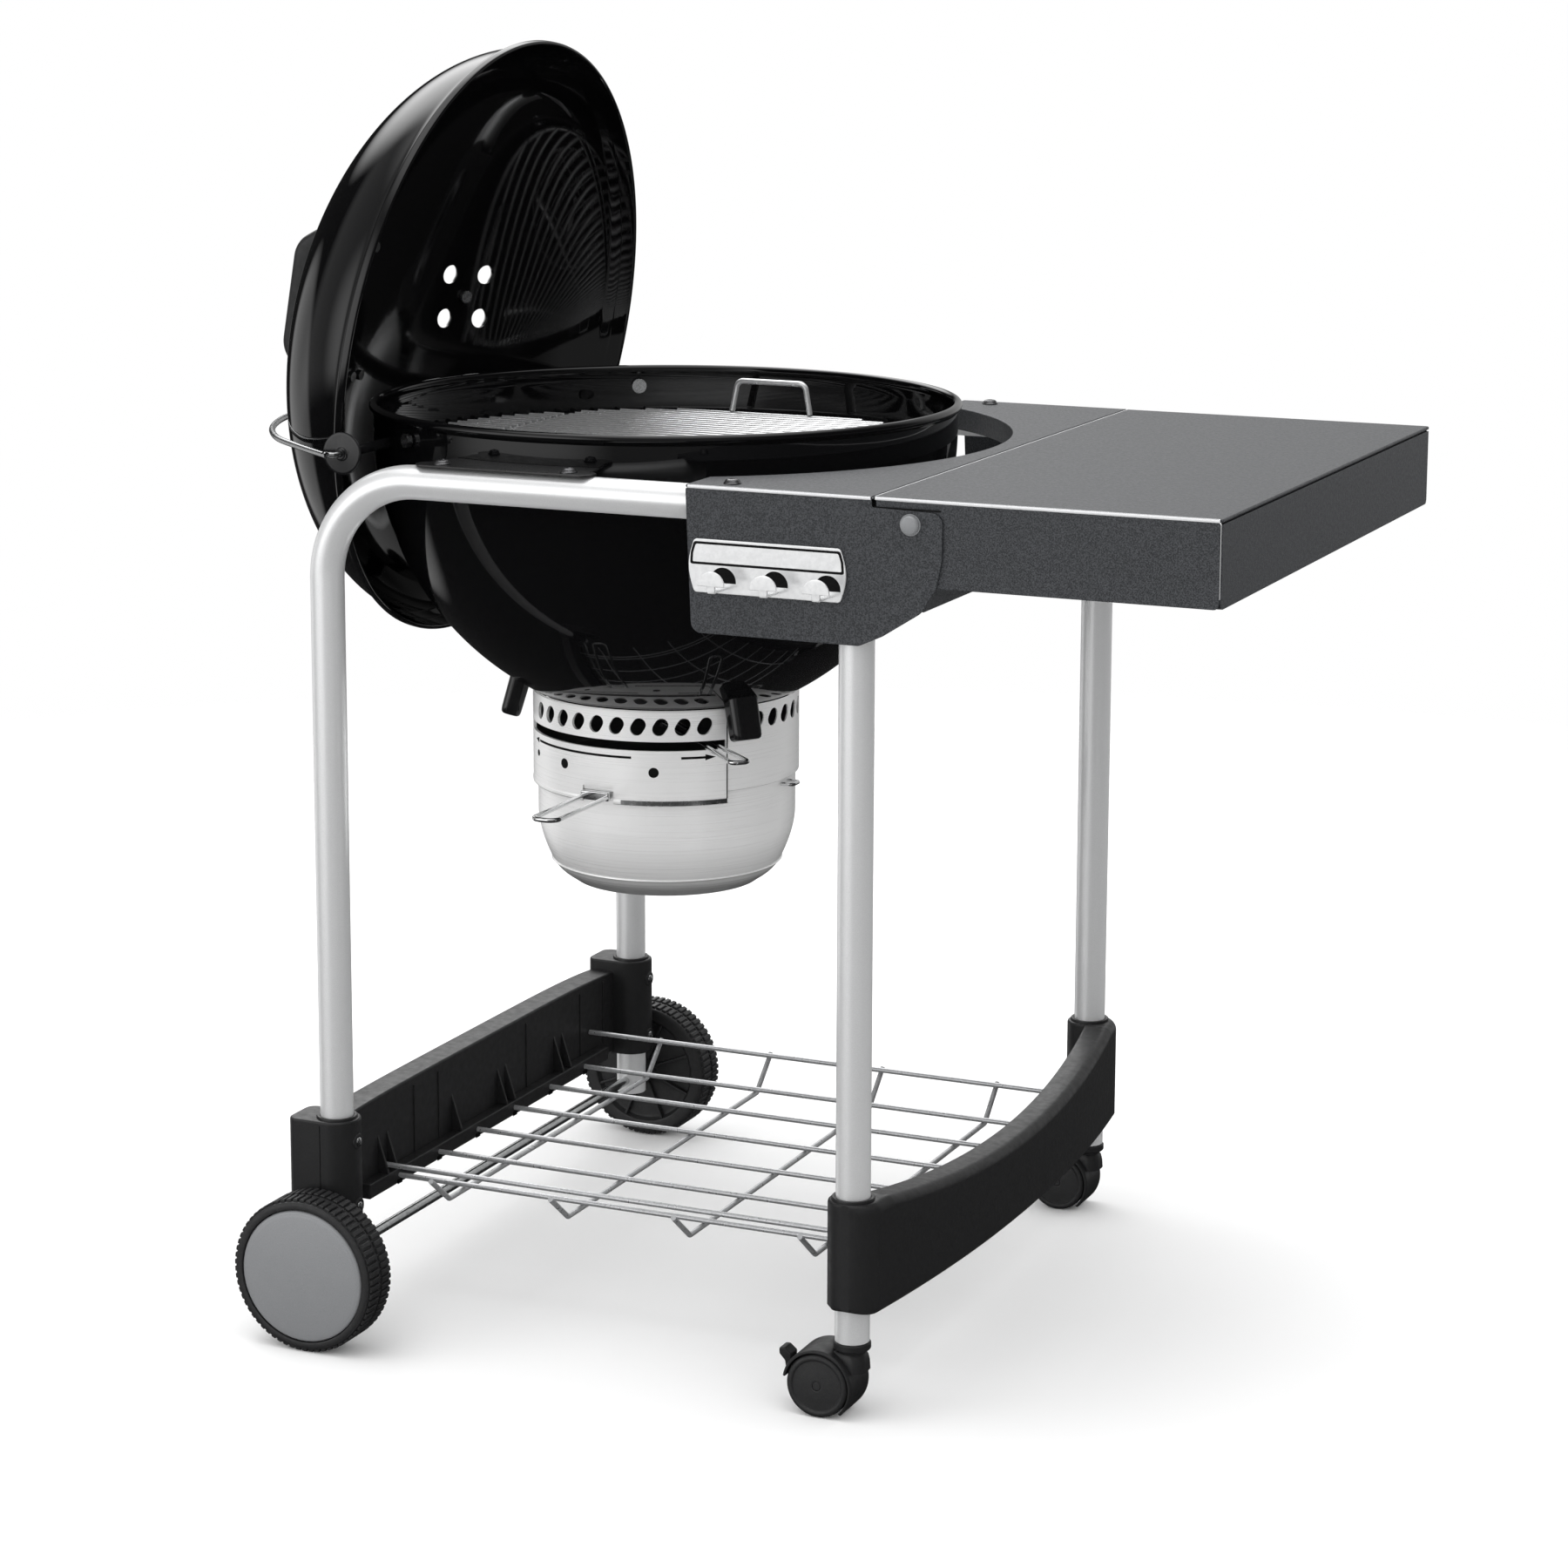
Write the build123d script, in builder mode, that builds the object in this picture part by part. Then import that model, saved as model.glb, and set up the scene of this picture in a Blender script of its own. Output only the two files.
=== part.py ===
"""Kettle charcoal grill on a tube cart with a fold-down side table.

Millimetres, +Z up, +X towards the side table, -Y towards the cook.
The origin lies on the floor under the middle of the whole grill. The kettle
axis stands KX to the side of it, and every plane and point below is given
from the kettle axis and carried over by KX.
"""
import os
from math import cos, sin, radians, sqrt

from build123d import *

os.makedirs("parts", exist_ok=True)

# ---------------------------------------------------------------- dimensions
KX = -123.5           # kettle axis from the origin

TUBE_R = 15.9          # frame tube, 1 1/4 inch
TUBE_WALL = 1.5
YT = 318.0             # plane of the front and rear frames, either side
XL = -197.0            # left legs
XR = 337.0             # right legs
ZT = 828.0             # axis of the top tubes
BEND_L = 95.0          # visible bend of the left legs
BEND_R = 70.0          # hidden bend of the right legs
X_JOIN = 230.0         # where the right leg plugs into the top tube
Z_LEG_L = 60.0         # lower end of the left legs
Z_LEG_R = 71.0         # lower end of the right legs

BOWL_A = 285.0         # bowl outside, half width
BOWL_B = 291.0         # bowl outside, depth of its ellipse
BOWL_Z = 850.0         # height of the ellipse's middle
BOWL_T = 2.0           # bowl wall
RIM_Z = 872.0          # middle of the rolled rim
RIM_R = 4.5            # rolled rim bead
RIM_MID = 284.5

LID_X, LID_Z = -184.7, 925.4   # middle of the parked lid's rim
LID_TILT = 9.8                 # lean of the parked lid, degrees
LID_A = 290.3                  # dome outside, half width
LID_B = 166.0                  # dome outside, depth
LID_T = 2.0
LID_RIM = 297.4                # rim outside

RING_R = 131.0         # ash ring outside
RING_T = 1.5
RING_LO, RING_HI = 509.0, 590.0
HOLE_Z = 575.0         # row of vent holes
SLOT_Z = 556.0         # slot of the sweeper lever
POT_R = 127.5          # ash pot outside
POT_LO, POT_HI = 392.0, 514.0

TABLE_Z = 846.3        # table top
TABLE_T = 1.8
TABLE_X0, TABLE_X1 = 358.8, 674.0
TABLE_Y = 336.4        # half width of the folding leaf
FLANGE = 77.3          # depth of the leaf's turned-down edges
PIVOT_X, PIVOT_Z = 394.7, 823.9
PANEL_X0 = 180.0       # left edge of the fixed panel
PANEL_Y = 338.6        # half width of the fixed panel
CUT_R = 338.0          # cut-out of the fixed panel round the kettle

GRATE_Z = 830.5        # middle of the cooking grate's bars
GRATE_R = 267.0        # cooking grate ring
BAR_R = 2.5
FLAP_X = 190.0         # hinge lines of the grate flaps
PITCH = 14.5

SHELF_Z = 119.0        # middle of the shelf's long wires
WIRE_R = 2.6
SHELF_Y = (-202.0, -121.2, -40.4, 40.4, 121.2, 202.0)
CROSS_X = (-124.0, 5.0, 134.0, 263.0)

WHEEL_R = 75.0
AXLE_R = 5.0
CASTER_R = 30.0
CASTER_OFF = 26.0

BRACE_BOLT_Z = (756.0, 776.0)

FIT = 0.05             # radial room of a running fit


# ------------------------------------------------------------------- helpers
def at(x, y, z):
    return (KX + x, y, z)


def pl_xz(y):
    """Upright plane facing the cook: local x is +X, local y is +Z."""
    return Plane(origin=(KX, y, 0), x_dir=(1, 0, 0), z_dir=(0, -1, 0))


def pl_yz(x):
    """Upright plane facing the table: local x is +Y, local y is +Z."""
    return Plane(origin=(KX + x, 0, 0), x_dir=(0, 1, 0), z_dir=(1, 0, 0))


def pl_xy(z):
    return Plane(origin=(KX, 0, z))


K_AXIS = Axis((KX, 0, 0), (0, 0, 1))


def save(builder, name):
    builder.part.label = name
    export_step(builder.part, f"parts/{name}.step")


def sag(half, rise, x):
    """Drop at x of a round arc through the axis that falls by rise at half."""
    rad = (half ** 2 + rise ** 2) / (2 * rise)
    return rad - sqrt(rad ** 2 - x ** 2)


TAU = radians(LID_TILT)
LID_C = Vector(*at(LID_X, 0, LID_Z))
LID_UP = Vector(sin(TAU), 0, cos(TAU))        # along the rim plane, upwards
LID_OUT = Vector(-cos(TAU), 0, sin(TAU))      # from the rim to the dome's top
LID_PLANE = Plane(origin=LID_C, x_dir=LID_UP, z_dir=(0, -1, 0))
LID_AXIS = Axis(LID_C, LID_OUT)


def lid_pt(u, v, w):
    """Point of the lid: u up along the rim plane, v along +Y, w out."""
    return LID_C + LID_UP * u + Vector(0, v, 0) + LID_OUT * w


def rod(points, radius, bend):
    """Round wire through points, joined to the part that is being built."""
    with BuildLine() as path:
        if bend is None:
            Polyline(*points)
        else:
            FilletPolyline(*points, radius=bend)
    with BuildSketch(Plane(origin=path.line @ 0, z_dir=path.line % 0)) as section:
        Circle(radius)
    sweep(sections=section.sketch, path=path.line)


def dome(a, b, z0, sg, turns=(0, 20, 42, 66, 90)):
    """Pressed dome's profile from its middle to its edge, in round arcs.

    a is the half width, b the depth, z0 the height of the edge, sg the side.
    Returns the first and the last point.
    """
    def p(t):
        return (a * sin(radians(t)), z0 + sg * b * cos(radians(t)))

    x1, z1 = p(turns[1])
    top = z0 + sg * b
    dz = abs(top - z1)
    rad = (x1 ** 2 + dz ** 2) / (2 * dz)
    ThreePointArc((0, top), (x1 / 2, top - sg * (rad - sqrt(rad ** 2 - (x1 / 2) ** 2))), (x1, z1))
    for t0, t1 in zip(turns[1:-1], turns[2:]):
        ThreePointArc(p(t0), p((t0 + t1) / 2), p(t1))
    return (0, top), p(turns[-1])


# A solid of the bowl's outside and one of its inside, for trimming
with BuildPart() as bowl_body:
    with BuildSketch(pl_xz(0)):
        with BuildLine():
            e0, e1 = dome(BOWL_A + 0.1, BOWL_B + 0.1, BOWL_Z, -1)
            Polyline(e1, (e1[0], 880), (0, 880), e0)
        make_face()
    revolve(axis=K_AXIS)
with BuildPart() as bowl_room:
    with BuildSketch(pl_xz(0)):
        with BuildLine():
            e0, e1 = dome(BOWL_A - BOWL_T - 0.1, BOWL_B - BOWL_T - 0.1, BOWL_Z, -1)
            Polyline(e1, (e1[0], 880), (0, 880), e0)
        make_face()
    revolve(axis=K_AXIS)

# A solid of the lid's outside
with BuildPart() as lid_body:
    with BuildSketch(LID_PLANE):
        with BuildLine():
            e0, e1 = dome(LID_A + 0.1, LID_B + 0.1, 0, 1)
            Polyline(e1, (0, 0), e0)
        make_face()
    revolve(axis=LID_AXIS)

# ------------------------------------------------------------ frame and cart
for name, y in (("front", -YT), ("rear", YT)):
    # leg, large bend and top tube in one bent tube
    with BuildPart() as left_tube:
        with BuildLine() as path:
            FilletPolyline(at(XL, y, Z_LEG_L), at(XL, y, ZT), at(X_JOIN, y, ZT),
                           radius=BEND_L)
        with BuildSketch(Plane(origin=path.line @ 0, z_dir=path.line % 0)):
            Circle(TUBE_R)
            Circle(TUBE_R - TUBE_WALL, mode=Mode.SUBTRACT)
        sweep(path=path.line)
        with Locations(Location(at(XL, y, WHEEL_R), (90, 0, 0))):
            Cylinder(AXLE_R + FIT, 60, mode=Mode.SUBTRACT)
    save(left_tube, f"{name}_left_tube")

    # right leg with its hidden bend and the reduced end that plugs in
    with BuildPart() as right_leg:
        with BuildLine() as path:
            FilletPolyline(at(XR, y, Z_LEG_R), at(XR, y, ZT), at(X_JOIN, y, ZT),
                           radius=BEND_R)
        with BuildSketch(Plane(origin=path.line @ 0, z_dir=path.line % 0)):
            Circle(TUBE_R)
            Circle(TUBE_R - TUBE_WALL, mode=Mode.SUBTRACT)
        sweep(path=path.line)
        with Locations(*[Location(at(XR - 1.5, y * 0.955, z), (90, 0, 0)) for z in BRACE_BOLT_Z]):
            Cylinder(3.1, 16, mode=Mode.SUBTRACT)
        with BuildSketch(Plane(origin=at(0, y, ZT), x_dir=(1, 0, 0), z_dir=(0, -1, 0))):
            with BuildLine():
                Polyline((190, 12.6), (190, 14.2), (X_JOIN, 14.2), (X_JOIN, 15.2),
                         (X_JOIN + 10, 15.2), (X_JOIN + 10, 12.6), (190, 12.6))
            make_face()
        revolve(axis=Axis(at(0, y, ZT), (1, 0, 0)))
    save(right_leg, f"{name}_right_leg")

    # plug of the caster in the leg's lower end, with its collar
    with BuildPart() as caster_socket:
        with BuildSketch(pl_xz(y)):
            with BuildLine():
                Polyline((XR + 5.5 + FIT, 63.4), (XR + 17.2, 63.4), (XR + 17.2, 70.8),
                         (XR + 14.3, 70.8), (XR + 14.3, 100), (XR + 5.5 + FIT, 100),
                         (XR + 5.5 + FIT, 63.4))
            make_face()
        revolve(axis=Axis(at(XR, y, 0), (0, 0, 1)))
    save(caster_socket, f"{name}_caster_socket")

    sgn = 1 if y > 0 else -1
    cx = XR - CASTER_OFF
    # swivelling hood with its stem, the web between the wheels and the cover
    with BuildPart() as hood:
        with BuildSketch(pl_xz(y + 4.4)):
            with Locations((cx, CASTER_R)):
                Circle(32.5)
        extrude(amount=8.8)
        with BuildSketch(pl_xz(y + 22.5)):
            with BuildLine():
                a0, a1, ro, ri = -48.0, 172.0, 34.0, 31.2
                o = CenterArc((cx, CASTER_R), ro, a0, a1 - a0)
                i = CenterArc((cx, CASTER_R), ri, a0, a1 - a0)
                Line(o @ 0, i @ 0)
                Line(o @ 1, i @ 1)
            make_face()
        extrude(amount=45)
        with Locations(at(XR, y, 51)):
            Cylinder(13.0, 17)
        with BuildSketch(pl_xz(y + 9)):
            with BuildLine():
                Polyline((cx + 2, 55), (XR + 12.6, 43), (XR + 12.6, 58), (cx + 6, 59.6), (cx + 2, 55))
            make_face()
        extrude(amount=18)
        with Locations(at(XR, y, 75)):
            Cylinder(5.5, 42)
        with Locations(Location(at(cx, y, CASTER_R), (90, 0, 0))):
            Cylinder(4.0 + FIT, 60, mode=Mode.SUBTRACT)
        # room for the two wheel discs
        with BuildSketch(pl_xz(y + 22.6)):
            with Locations((cx, CASTER_R)):
                Circle(30.9)
        extrude(amount=17.8, mode=Mode.SUBTRACT)
        with BuildSketch(pl_xz(y - 4.8)):
            with Locations((cx, CASTER_R)):
                Circle(30.9)
        extrude(amount=17.8, mode=Mode.SUBTRACT)
        # room for the brake pedal
        with Locations(at(cx - 33, y, CASTER_R + 14)):
            Box(14, 17, 24, mode=Mode.SUBTRACT)
        # the floor side stays open
        with Locations(at(cx, y, -1)):
            Box(90, 60, 16, mode=Mode.SUBTRACT)
    save(hood, f"{name}_caster_hood")

    # two wheel discs on one axle
    with BuildPart() as caster_wheels:
        with Locations(Location(at(cx, y, CASTER_R), (90, 0, 0))):
            Cylinder(4.0, 44)
        for k in (-1, 1):
            with BuildSketch(Plane(origin=at(cx, y, CASTER_R), x_dir=(1, 0, 0), z_dir=(0, 0, 1))):
                with BuildLine():
                    Polyline((0, k * 5.0), (28.4, k * 5.0), (CASTER_R, k * 6.8), (CASTER_R, k * 18.0),
                             (28.0, k * 21.0), (24.0, k * 22.2), (20.0, k * 21.4), (0, k * 21.4), (0, k * 5.0))
                make_face()
            revolve(axis=Axis(at(cx, y, CASTER_R), (0, 1, 0)))
    save(caster_wheels, f"{name}_caster_wheels")

    # brake pedal in the hood's notch
    with BuildPart() as brake:
        with BuildSketch(pl_xz(y + 7.5)):
            with BuildLine():
                Polyline((cx - 31.6, 34), (cx - 36, 34), (cx - 37.5, 44), (cx - 43, 50), (cx - 43.5, 56),
                         (cx - 38, 56.5), (cx - 31, 51), (cx - 31.4, 42), (cx - 31.6, 34))
            make_face()
        extrude(amount=15)
    save(brake, f"{name}_caster_brake")

    # wheel with its hub; the tread is on the outside of the rim
    with BuildPart() as wheel:
        with BuildSketch(Plane(origin=at(XL, 0, WHEEL_R), x_dir=(1, 0, 0), z_dir=(0, 0, 1))):
            with BuildLine():
                Polyline((AXLE_R + FIT, sgn * 336.5), (14, sgn * 336.5), (14, sgn * 352), (56, sgn * 354),
                         (58, sgn * 347), (72, sgn * 347), (75, sgn * 350), (75, sgn * 386.5),
                         (72.5, sgn * 389.5), (66.5, sgn * 389.5), (64.5, sgn * 387), (64.5, sgn * 381),
                         (13, sgn * 381), (13, sgn * 384), (AXLE_R + FIT, sgn * 384),
                         (AXLE_R + FIT, sgn * 336.5))
            make_face()
        revolve(axis=Axis(at(XL, 0, WHEEL_R), (0, 1, 0)))
    save(wheel, f"{name}_wheel")

    # shallow domed hub cap in the wheel's recess
    with BuildPart() as hubcap:
        with BuildSketch(Plane(origin=at(XL, 0, WHEEL_R), x_dir=(1, 0, 0), z_dir=(0, 0, 1))):
            with BuildLine():
                Line((0, sgn * 384.6), (64.2, sgn * 384.6))
                Line((64.2, sgn * 384.6), (64.2, sgn * 389))
                ThreePointArc((64.2, sgn * 389), (34, sgn * (393.2 - sag(64.2, 4.2, 34))), (0, sgn * 393.2))
                Line((0, sgn * 393.2), (0, sgn * 384.6))
            make_face()
        revolve(axis=Axis(at(XL, 0, WHEEL_R), (0, 1, 0)))
    save(hubcap, f"{name}_hubcap")

with BuildPart() as axle:
    with Locations(Location(at(XL, 0, WHEEL_R), (90, 0, 0))):
        Cylinder(AXLE_R, 766)
save(axle, "axle")

# Left end panel: a hollow beam beside the legs, a socket round each leg, and
# on its inner side the ledge for the shelf's wires with gussets above it
LPX0, LPX1, LP_TOP, LP_BOT = -240.0, -208.0, 204.0, 108.0
with BuildPart() as left_panel:
    with BuildSketch(pl_yz(LPX0)):
        with BuildLine():
            l1 = Line((-300, LP_BOT), (-300, LP_TOP))
            l2 = Line((-300, LP_TOP), (300, LP_TOP))
            l3 = Line((300, LP_TOP), (300, LP_BOT))
            ThreePointArc((300, LP_BOT), (0, LP_BOT + 10), (-300, LP_BOT))
        make_face()
    extrude(amount=LPX1 - LPX0)
    # hollow from below
    with Locations(at((LPX0 + LPX1) / 2, 0, (LP_BOT + LP_TOP) / 2 - 8)):
        Box(LPX1 - LPX0 - 8, 560, LP_TOP - LP_BOT + 8, mode=Mode.SUBTRACT)
    # sockets
    for y in (-YT, YT):
        with BuildSketch(pl_xy(107)):
            with Locations((XL, y)):
                Circle(23)
            with Locations(((LPX0 + XL) / 2, y)):
                RectangleRounded(XL - LPX0, 46, 9)
            with Locations((XL - 12, y)):
                Rectangle(24, 46)
        extrude(amount=105)
    # ledge
    with Locations(at(-202, 0, 118.5)):
        Box(12.5, 520, 15)
    # gussets
    for gy in (-222, -204, 26, 44):
        with BuildSketch(pl_xz(gy + 1.5)):
            with BuildLine():
                Polyline((LPX1 - 1, 125), (-196.5, 125), (LPX1 - 1, 164), (LPX1 - 1, 125))
            make_face()
        extrude(amount=3)
    # holes for the legs, the shelf's wires and the screws
    with Locations(at(XL, -YT, 160), at(XL, YT, 160)):
        Cylinder(TUBE_R + 0.1, 120, mode=Mode.SUBTRACT)
    with Locations(*[Location(at(-200, y, SHELF_Z), (0, 90, 0)) for y in SHELF_Y]):
        Cylinder(WIRE_R + 0.2, 14, mode=Mode.SUBTRACT)
    with Locations(Location(at(-200, -216, 133), (0, 90, 0)), Location(at(-200, 236, 147), (0, 90, 0))):
        Cylinder(WIRE_R + 0.2, 26, mode=Mode.SUBTRACT)
    with Locations(*[Location(at(XL + 20, y, z), (0, 90, 0)) for y in (-YT, YT) for z in (126, 190)]):
        Cylinder(2.1, 12, mode=Mode.SUBTRACT)
save(left_panel, "left_end_panel")

# Right end panel: bowed outwards, lower in the middle, a socket at each end
RPX = 389.0
RP_RAD = 2210.0
with BuildPart() as right_panel:
    with BuildSketch(pl_xy(101)):
        with BuildLine():
            x_end = RPX - (RP_RAD - sqrt(RP_RAD ** 2 - 330 ** 2))
            ThreePointArc((x_end, -330), (RPX, 0), (x_end, 330))
            Line((x_end, 330), (x_end - 30, 330))
            ThreePointArc((x_end - 30, 330), (RPX - 30, 0), (x_end - 30, -330))
            Line((x_end - 30, -330), (x_end, -330))
        make_face()
    extrude(amount=104)
    # hollow from below
    with BuildSketch(pl_xy(100)):
        with BuildLine():
            x_e = RPX - 4 - (RP_RAD - sqrt(RP_RAD ** 2 - 284 ** 2))
            ThreePointArc((x_e, -284), (RPX - 4, 0), (x_e, 284))
            Line((x_e, 284), (x_e - 22, 284))
            ThreePointArc((x_e - 22, 284), (RPX - 26, 0), (x_e - 22, -284))
            Line((x_e - 22, -284), (x_e, -284))
        make_face()
    extrude(amount=76, mode=Mode.SUBTRACT)
    # sockets
    for y in (-YT, YT):
        with BuildSketch(pl_xy(103)):
            with Locations((XR, y)):
                Circle(23)
            with Locations((XR + 14, y)):
                RectangleRounded(28, 46, 11)
            with Locations((XR + 7, y)):
                Rectangle(14, 46)
        extrude(amount=102)
    # the top dips between the sockets
    with BuildSketch(pl_yz(280)):
        with BuildLine():
            ThreePointArc((-296, 205), (0, 182), (296, 205))
            Polyline((296, 205), (296, 240), (-296, 240), (-296, 205))
        make_face()
    extrude(amount=200, mode=Mode.SUBTRACT)
    # ledge that carries the shelf's wires
    with BuildSketch(pl_xy(110)):
        with Locations((347, 0)):
            Rectangle(22, 500)
    extrude(amount=6)
    with Locations(at(XR, -YT, 160), at(XR, YT, 160)):
        Cylinder(TUBE_R + 0.1, 140, mode=Mode.SUBTRACT)
    with Locations(Location(at(354, -216, 133), (0, 90, 0)), Location(at(354, 236, 147), (0, 90, 0))):
        Cylinder(WIRE_R + 0.2, 24, mode=Mode.SUBTRACT)
save(right_panel, "right_end_panel")

# Screws that hold the left sockets on the legs
with BuildPart() as panel_screws:
    with Locations(*[Location(at(XL + 23.2 + 1.4, y, z), (0, 90, 0)) for y in (-YT, YT) for z in (126, 190)]):
        Cylinder(4.2, 2.8)
    with Locations(*[Location(at(XL + 19.8, y, z), (0, 90, 0)) for y in (-YT, YT) for z in (126, 190)]):
        Cylinder(2.0, 7.0)
save(panel_screws, "end_panel_screws")

# Wire shelf: the long wires and the raised rear wire
with BuildPart() as shelf:
    with Locations(*[Location(at(67.5, y, SHELF_Z), (0, 90, 0)) for y in SHELF_Y]):
        Cylinder(WIRE_R, 547)
    with Locations(Location(at(73, 236, 147), (0, 90, 0))):
        Cylinder(WIRE_R, 560)
save(shelf, "wire_shelf")

# Wires across the shelf, welded under the long ones: raised at the back, a
# hook at the front
CROSS_Z = SHELF_Z - 2 * WIRE_R - 0.05
with BuildPart() as cross_wires:
    for x in CROSS_X:
        rod([at(x, 244, 147.24), at(x, 207.97, CROSS_Z), at(x, -232, CROSS_Z), at(x, -268, 142)], WIRE_R, 5)
save(cross_wires, "shelf_cross_wires")

# Front wire of the shelf, above the row of hooks
with BuildPart() as front_wire:
    with Locations(Location(at(73, -216, 133), (0, 90, 0))):
        Cylinder(WIRE_R, 560)
save(front_wire, "shelf_front_wire")

# ------------------------------------------------------------------- kettle
with BuildPart() as bowl:
    with BuildSketch(pl_xz(0)):
        with BuildLine():
            o0, o1 = dome(BOWL_A, BOWL_B, BOWL_Z, -1)
            i0, i1 = dome(BOWL_A - BOWL_T, BOWL_B - BOWL_T, BOWL_Z, -1)
            Polyline(o1, (BOWL_A, RIM_Z), (BOWL_A - BOWL_T, RIM_Z), i1)
            Line(o0, i0)
        make_face()
        with Locations((RIM_MID, RIM_Z)):
            Circle(RIM_R)
    revolve(axis=K_AXIS)
    # three vents in the bottom
    for a in (30, 150, 270):
        with BuildSketch(pl_xy(535)):
            with BuildLine():
                c1 = CenterArc((0, 0), 58, a - 24, 48)
                c2 = CenterArc((0, 0), 88, a - 24, 48)
                Line(c1 @ 0, c2 @ 0)
                Line(c1 @ 1, c2 @ 1)
            make_face()
        extrude(amount=60, mode=Mode.SUBTRACT)
    # sweeper's shaft, inside bolts
    with Locations(at(0, 0, 560)):
        Cylinder(4.0 + FIT, 30, mode=Mode.SUBTRACT)
    for s in (1, -1):
        with Locations(Plane(origin=at(-147, s * 241, 855), z_dir=(-147, s * 241, 0))):
            Cylinder(3.0 + 0.1, 40, mode=Mode.SUBTRACT)
save(bowl, "bowl")

# Bolts seen on the bowl's inner wall
with BuildPart() as bowl_bolts:
    for s in (1, -1):
        u = Vector(-147, s * 241, 0).normalized()
        for mid, radius, length in ((279.6, 7.5, 4.4), (286, 3.0, 12), (289.4, 6.5, 5.4)):
            with Locations(Plane(origin=at(*(u * mid + Vector(0, 0, 855))), z_dir=u)):
                Cylinder(radius, length)
save(bowl_bolts, "bowl_bolts")

# Brackets that hang the bowl between the top tubes, and their bolts
for name, s in (("front", -1), ("rear", 1)):
    with BuildPart() as bracket:
        with Locations(at(-9.5, s * 294, ZT + TUBE_R + 0.1 + 1.2)):
            Box(181, 76, 2.4)
        add(bowl_body.part, mode=Mode.SUBTRACT)
        with Locations(at(-74, s * YT, ZT + 17), at(55, s * YT, ZT + 17)):
            Cylinder(3.1, 10, mode=Mode.SUBTRACT)
    save(bracket, f"bowl_bracket_{name}")
with BuildPart() as bracket_bolts:
    for s in (-1, 1):
        for x in (-74, 55):
            with BuildSketch(pl_xz(s * YT)):
                with BuildLine():
                    z0 = ZT + TUBE_R + 2.6
                    Line((x, z0 - 2.3), (x, z0 + 4.4))
                    ThreePointArc((x, z0 + 4.4), (x + 5.4, z0 + 3.0), (x + 8.0, z0))
                    Polyline((x + 8.0, z0), (x + 3.0, z0), (x + 3.0, z0 - 2.3), (x, z0 - 2.3))
                make_face()
            revolve(axis=Axis(at(x, s * YT, 0), (0, 0, 1)))
save(bracket_bolts, "bracket_bolts")

# Three leg sockets under the bowl that hold the ash ring
SOCKET_AZ = (-35.0, -155.0, 85.0)
with BuildPart() as leg_sockets:
    for a in SOCKET_AZ:
        ca, sa = cos(radians(a)), sin(radians(a))
        lean = 14.0
        d = Vector(ca * sin(radians(lean)), sa * sin(radians(lean)), -cos(radians(lean)))
        with BuildSketch(Plane(origin=at(ca * 142, sa * 142, 614), x_dir=(-sa, ca, 0), z_dir=d)):
            RectangleRounded(32, 21, 4)
        extrude(amount=62, taper=1.5)
    add(bowl_body.part, mode=Mode.SUBTRACT)
save(leg_sockets, "leg_sockets")


HOLE_AZ = [-133 + 9.4 * k for k in range(10)] + [-22 + 9.4 * k for k in range(10)] + \
    [107 + 9.4 * k for k in range(10)]

# Cutter with the slanted vent holes and the lever's slot
with BuildPart() as ring_cut:
    for a in HOLE_AZ:
        ca, sa = cos(radians(a)), sin(radians(a))
        with BuildSketch(Plane(origin=at(ca * 120, sa * 120, HOLE_Z), x_dir=(-sa, ca, 0), z_dir=(ca, sa, 0))):
            SlotOverall(18, 13, rotation=58)
        extrude(amount=20)
    for a0, a1 in ((-147, -39),):
        with BuildSketch(pl_xy(SLOT_Z - 4.5)):
            with BuildLine():
                c1 = CenterArc((0, 0), 122, a0, a1 - a0)
                c2 = CenterArc((0, 0), 140, a0, a1 - a0)
                Line(c1 @ 0, c2 @ 0)
                Line(c1 @ 1, c2 @ 1)
            make_face()
        extrude(amount=9)

# Ash ring under the bowl
with BuildPart() as ash_ring:
    with BuildSketch(pl_xz(0)):
        with Locations((RING_R - RING_T / 2, (RING_LO + RING_HI) / 2)):
            Rectangle(RING_T, RING_HI - RING_LO)
    revolve(axis=K_AXIS)
    add(ring_cut.part, mode=Mode.SUBTRACT)
    add(bowl_body.part, mode=Mode.SUBTRACT)
    add(leg_sockets.part, mode=Mode.SUBTRACT)
save(ash_ring, "ash_ring")

# Curved front plate on the ring, with a rounded upper corner
with BuildPart() as ring_plate:
    with BuildSketch(pl_xy(497)):
        with BuildLine():
            c1 = CenterArc((0, 0), RING_R + 0.15, -168, 126)
            c2 = CenterArc((0, 0), RING_R + 1.2, -168, 126)
            Line(c1 @ 0, c2 @ 0)
            Line(c1 @ 1, c2 @ 1)
        make_face()
    extrude(amount=92.5)
    add(ring_cut.part, mode=Mode.SUBTRACT)
    add(bowl_body.part, mode=Mode.SUBTRACT)
    add(leg_sockets.part, mode=Mode.SUBTRACT)
    # opening for the pot handle
    with Locations(at(-11, -130, 501)):
        Box(34, 20, 24, mode=Mode.SUBTRACT)
save(ring_plate, "ring_front_plate")

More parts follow.
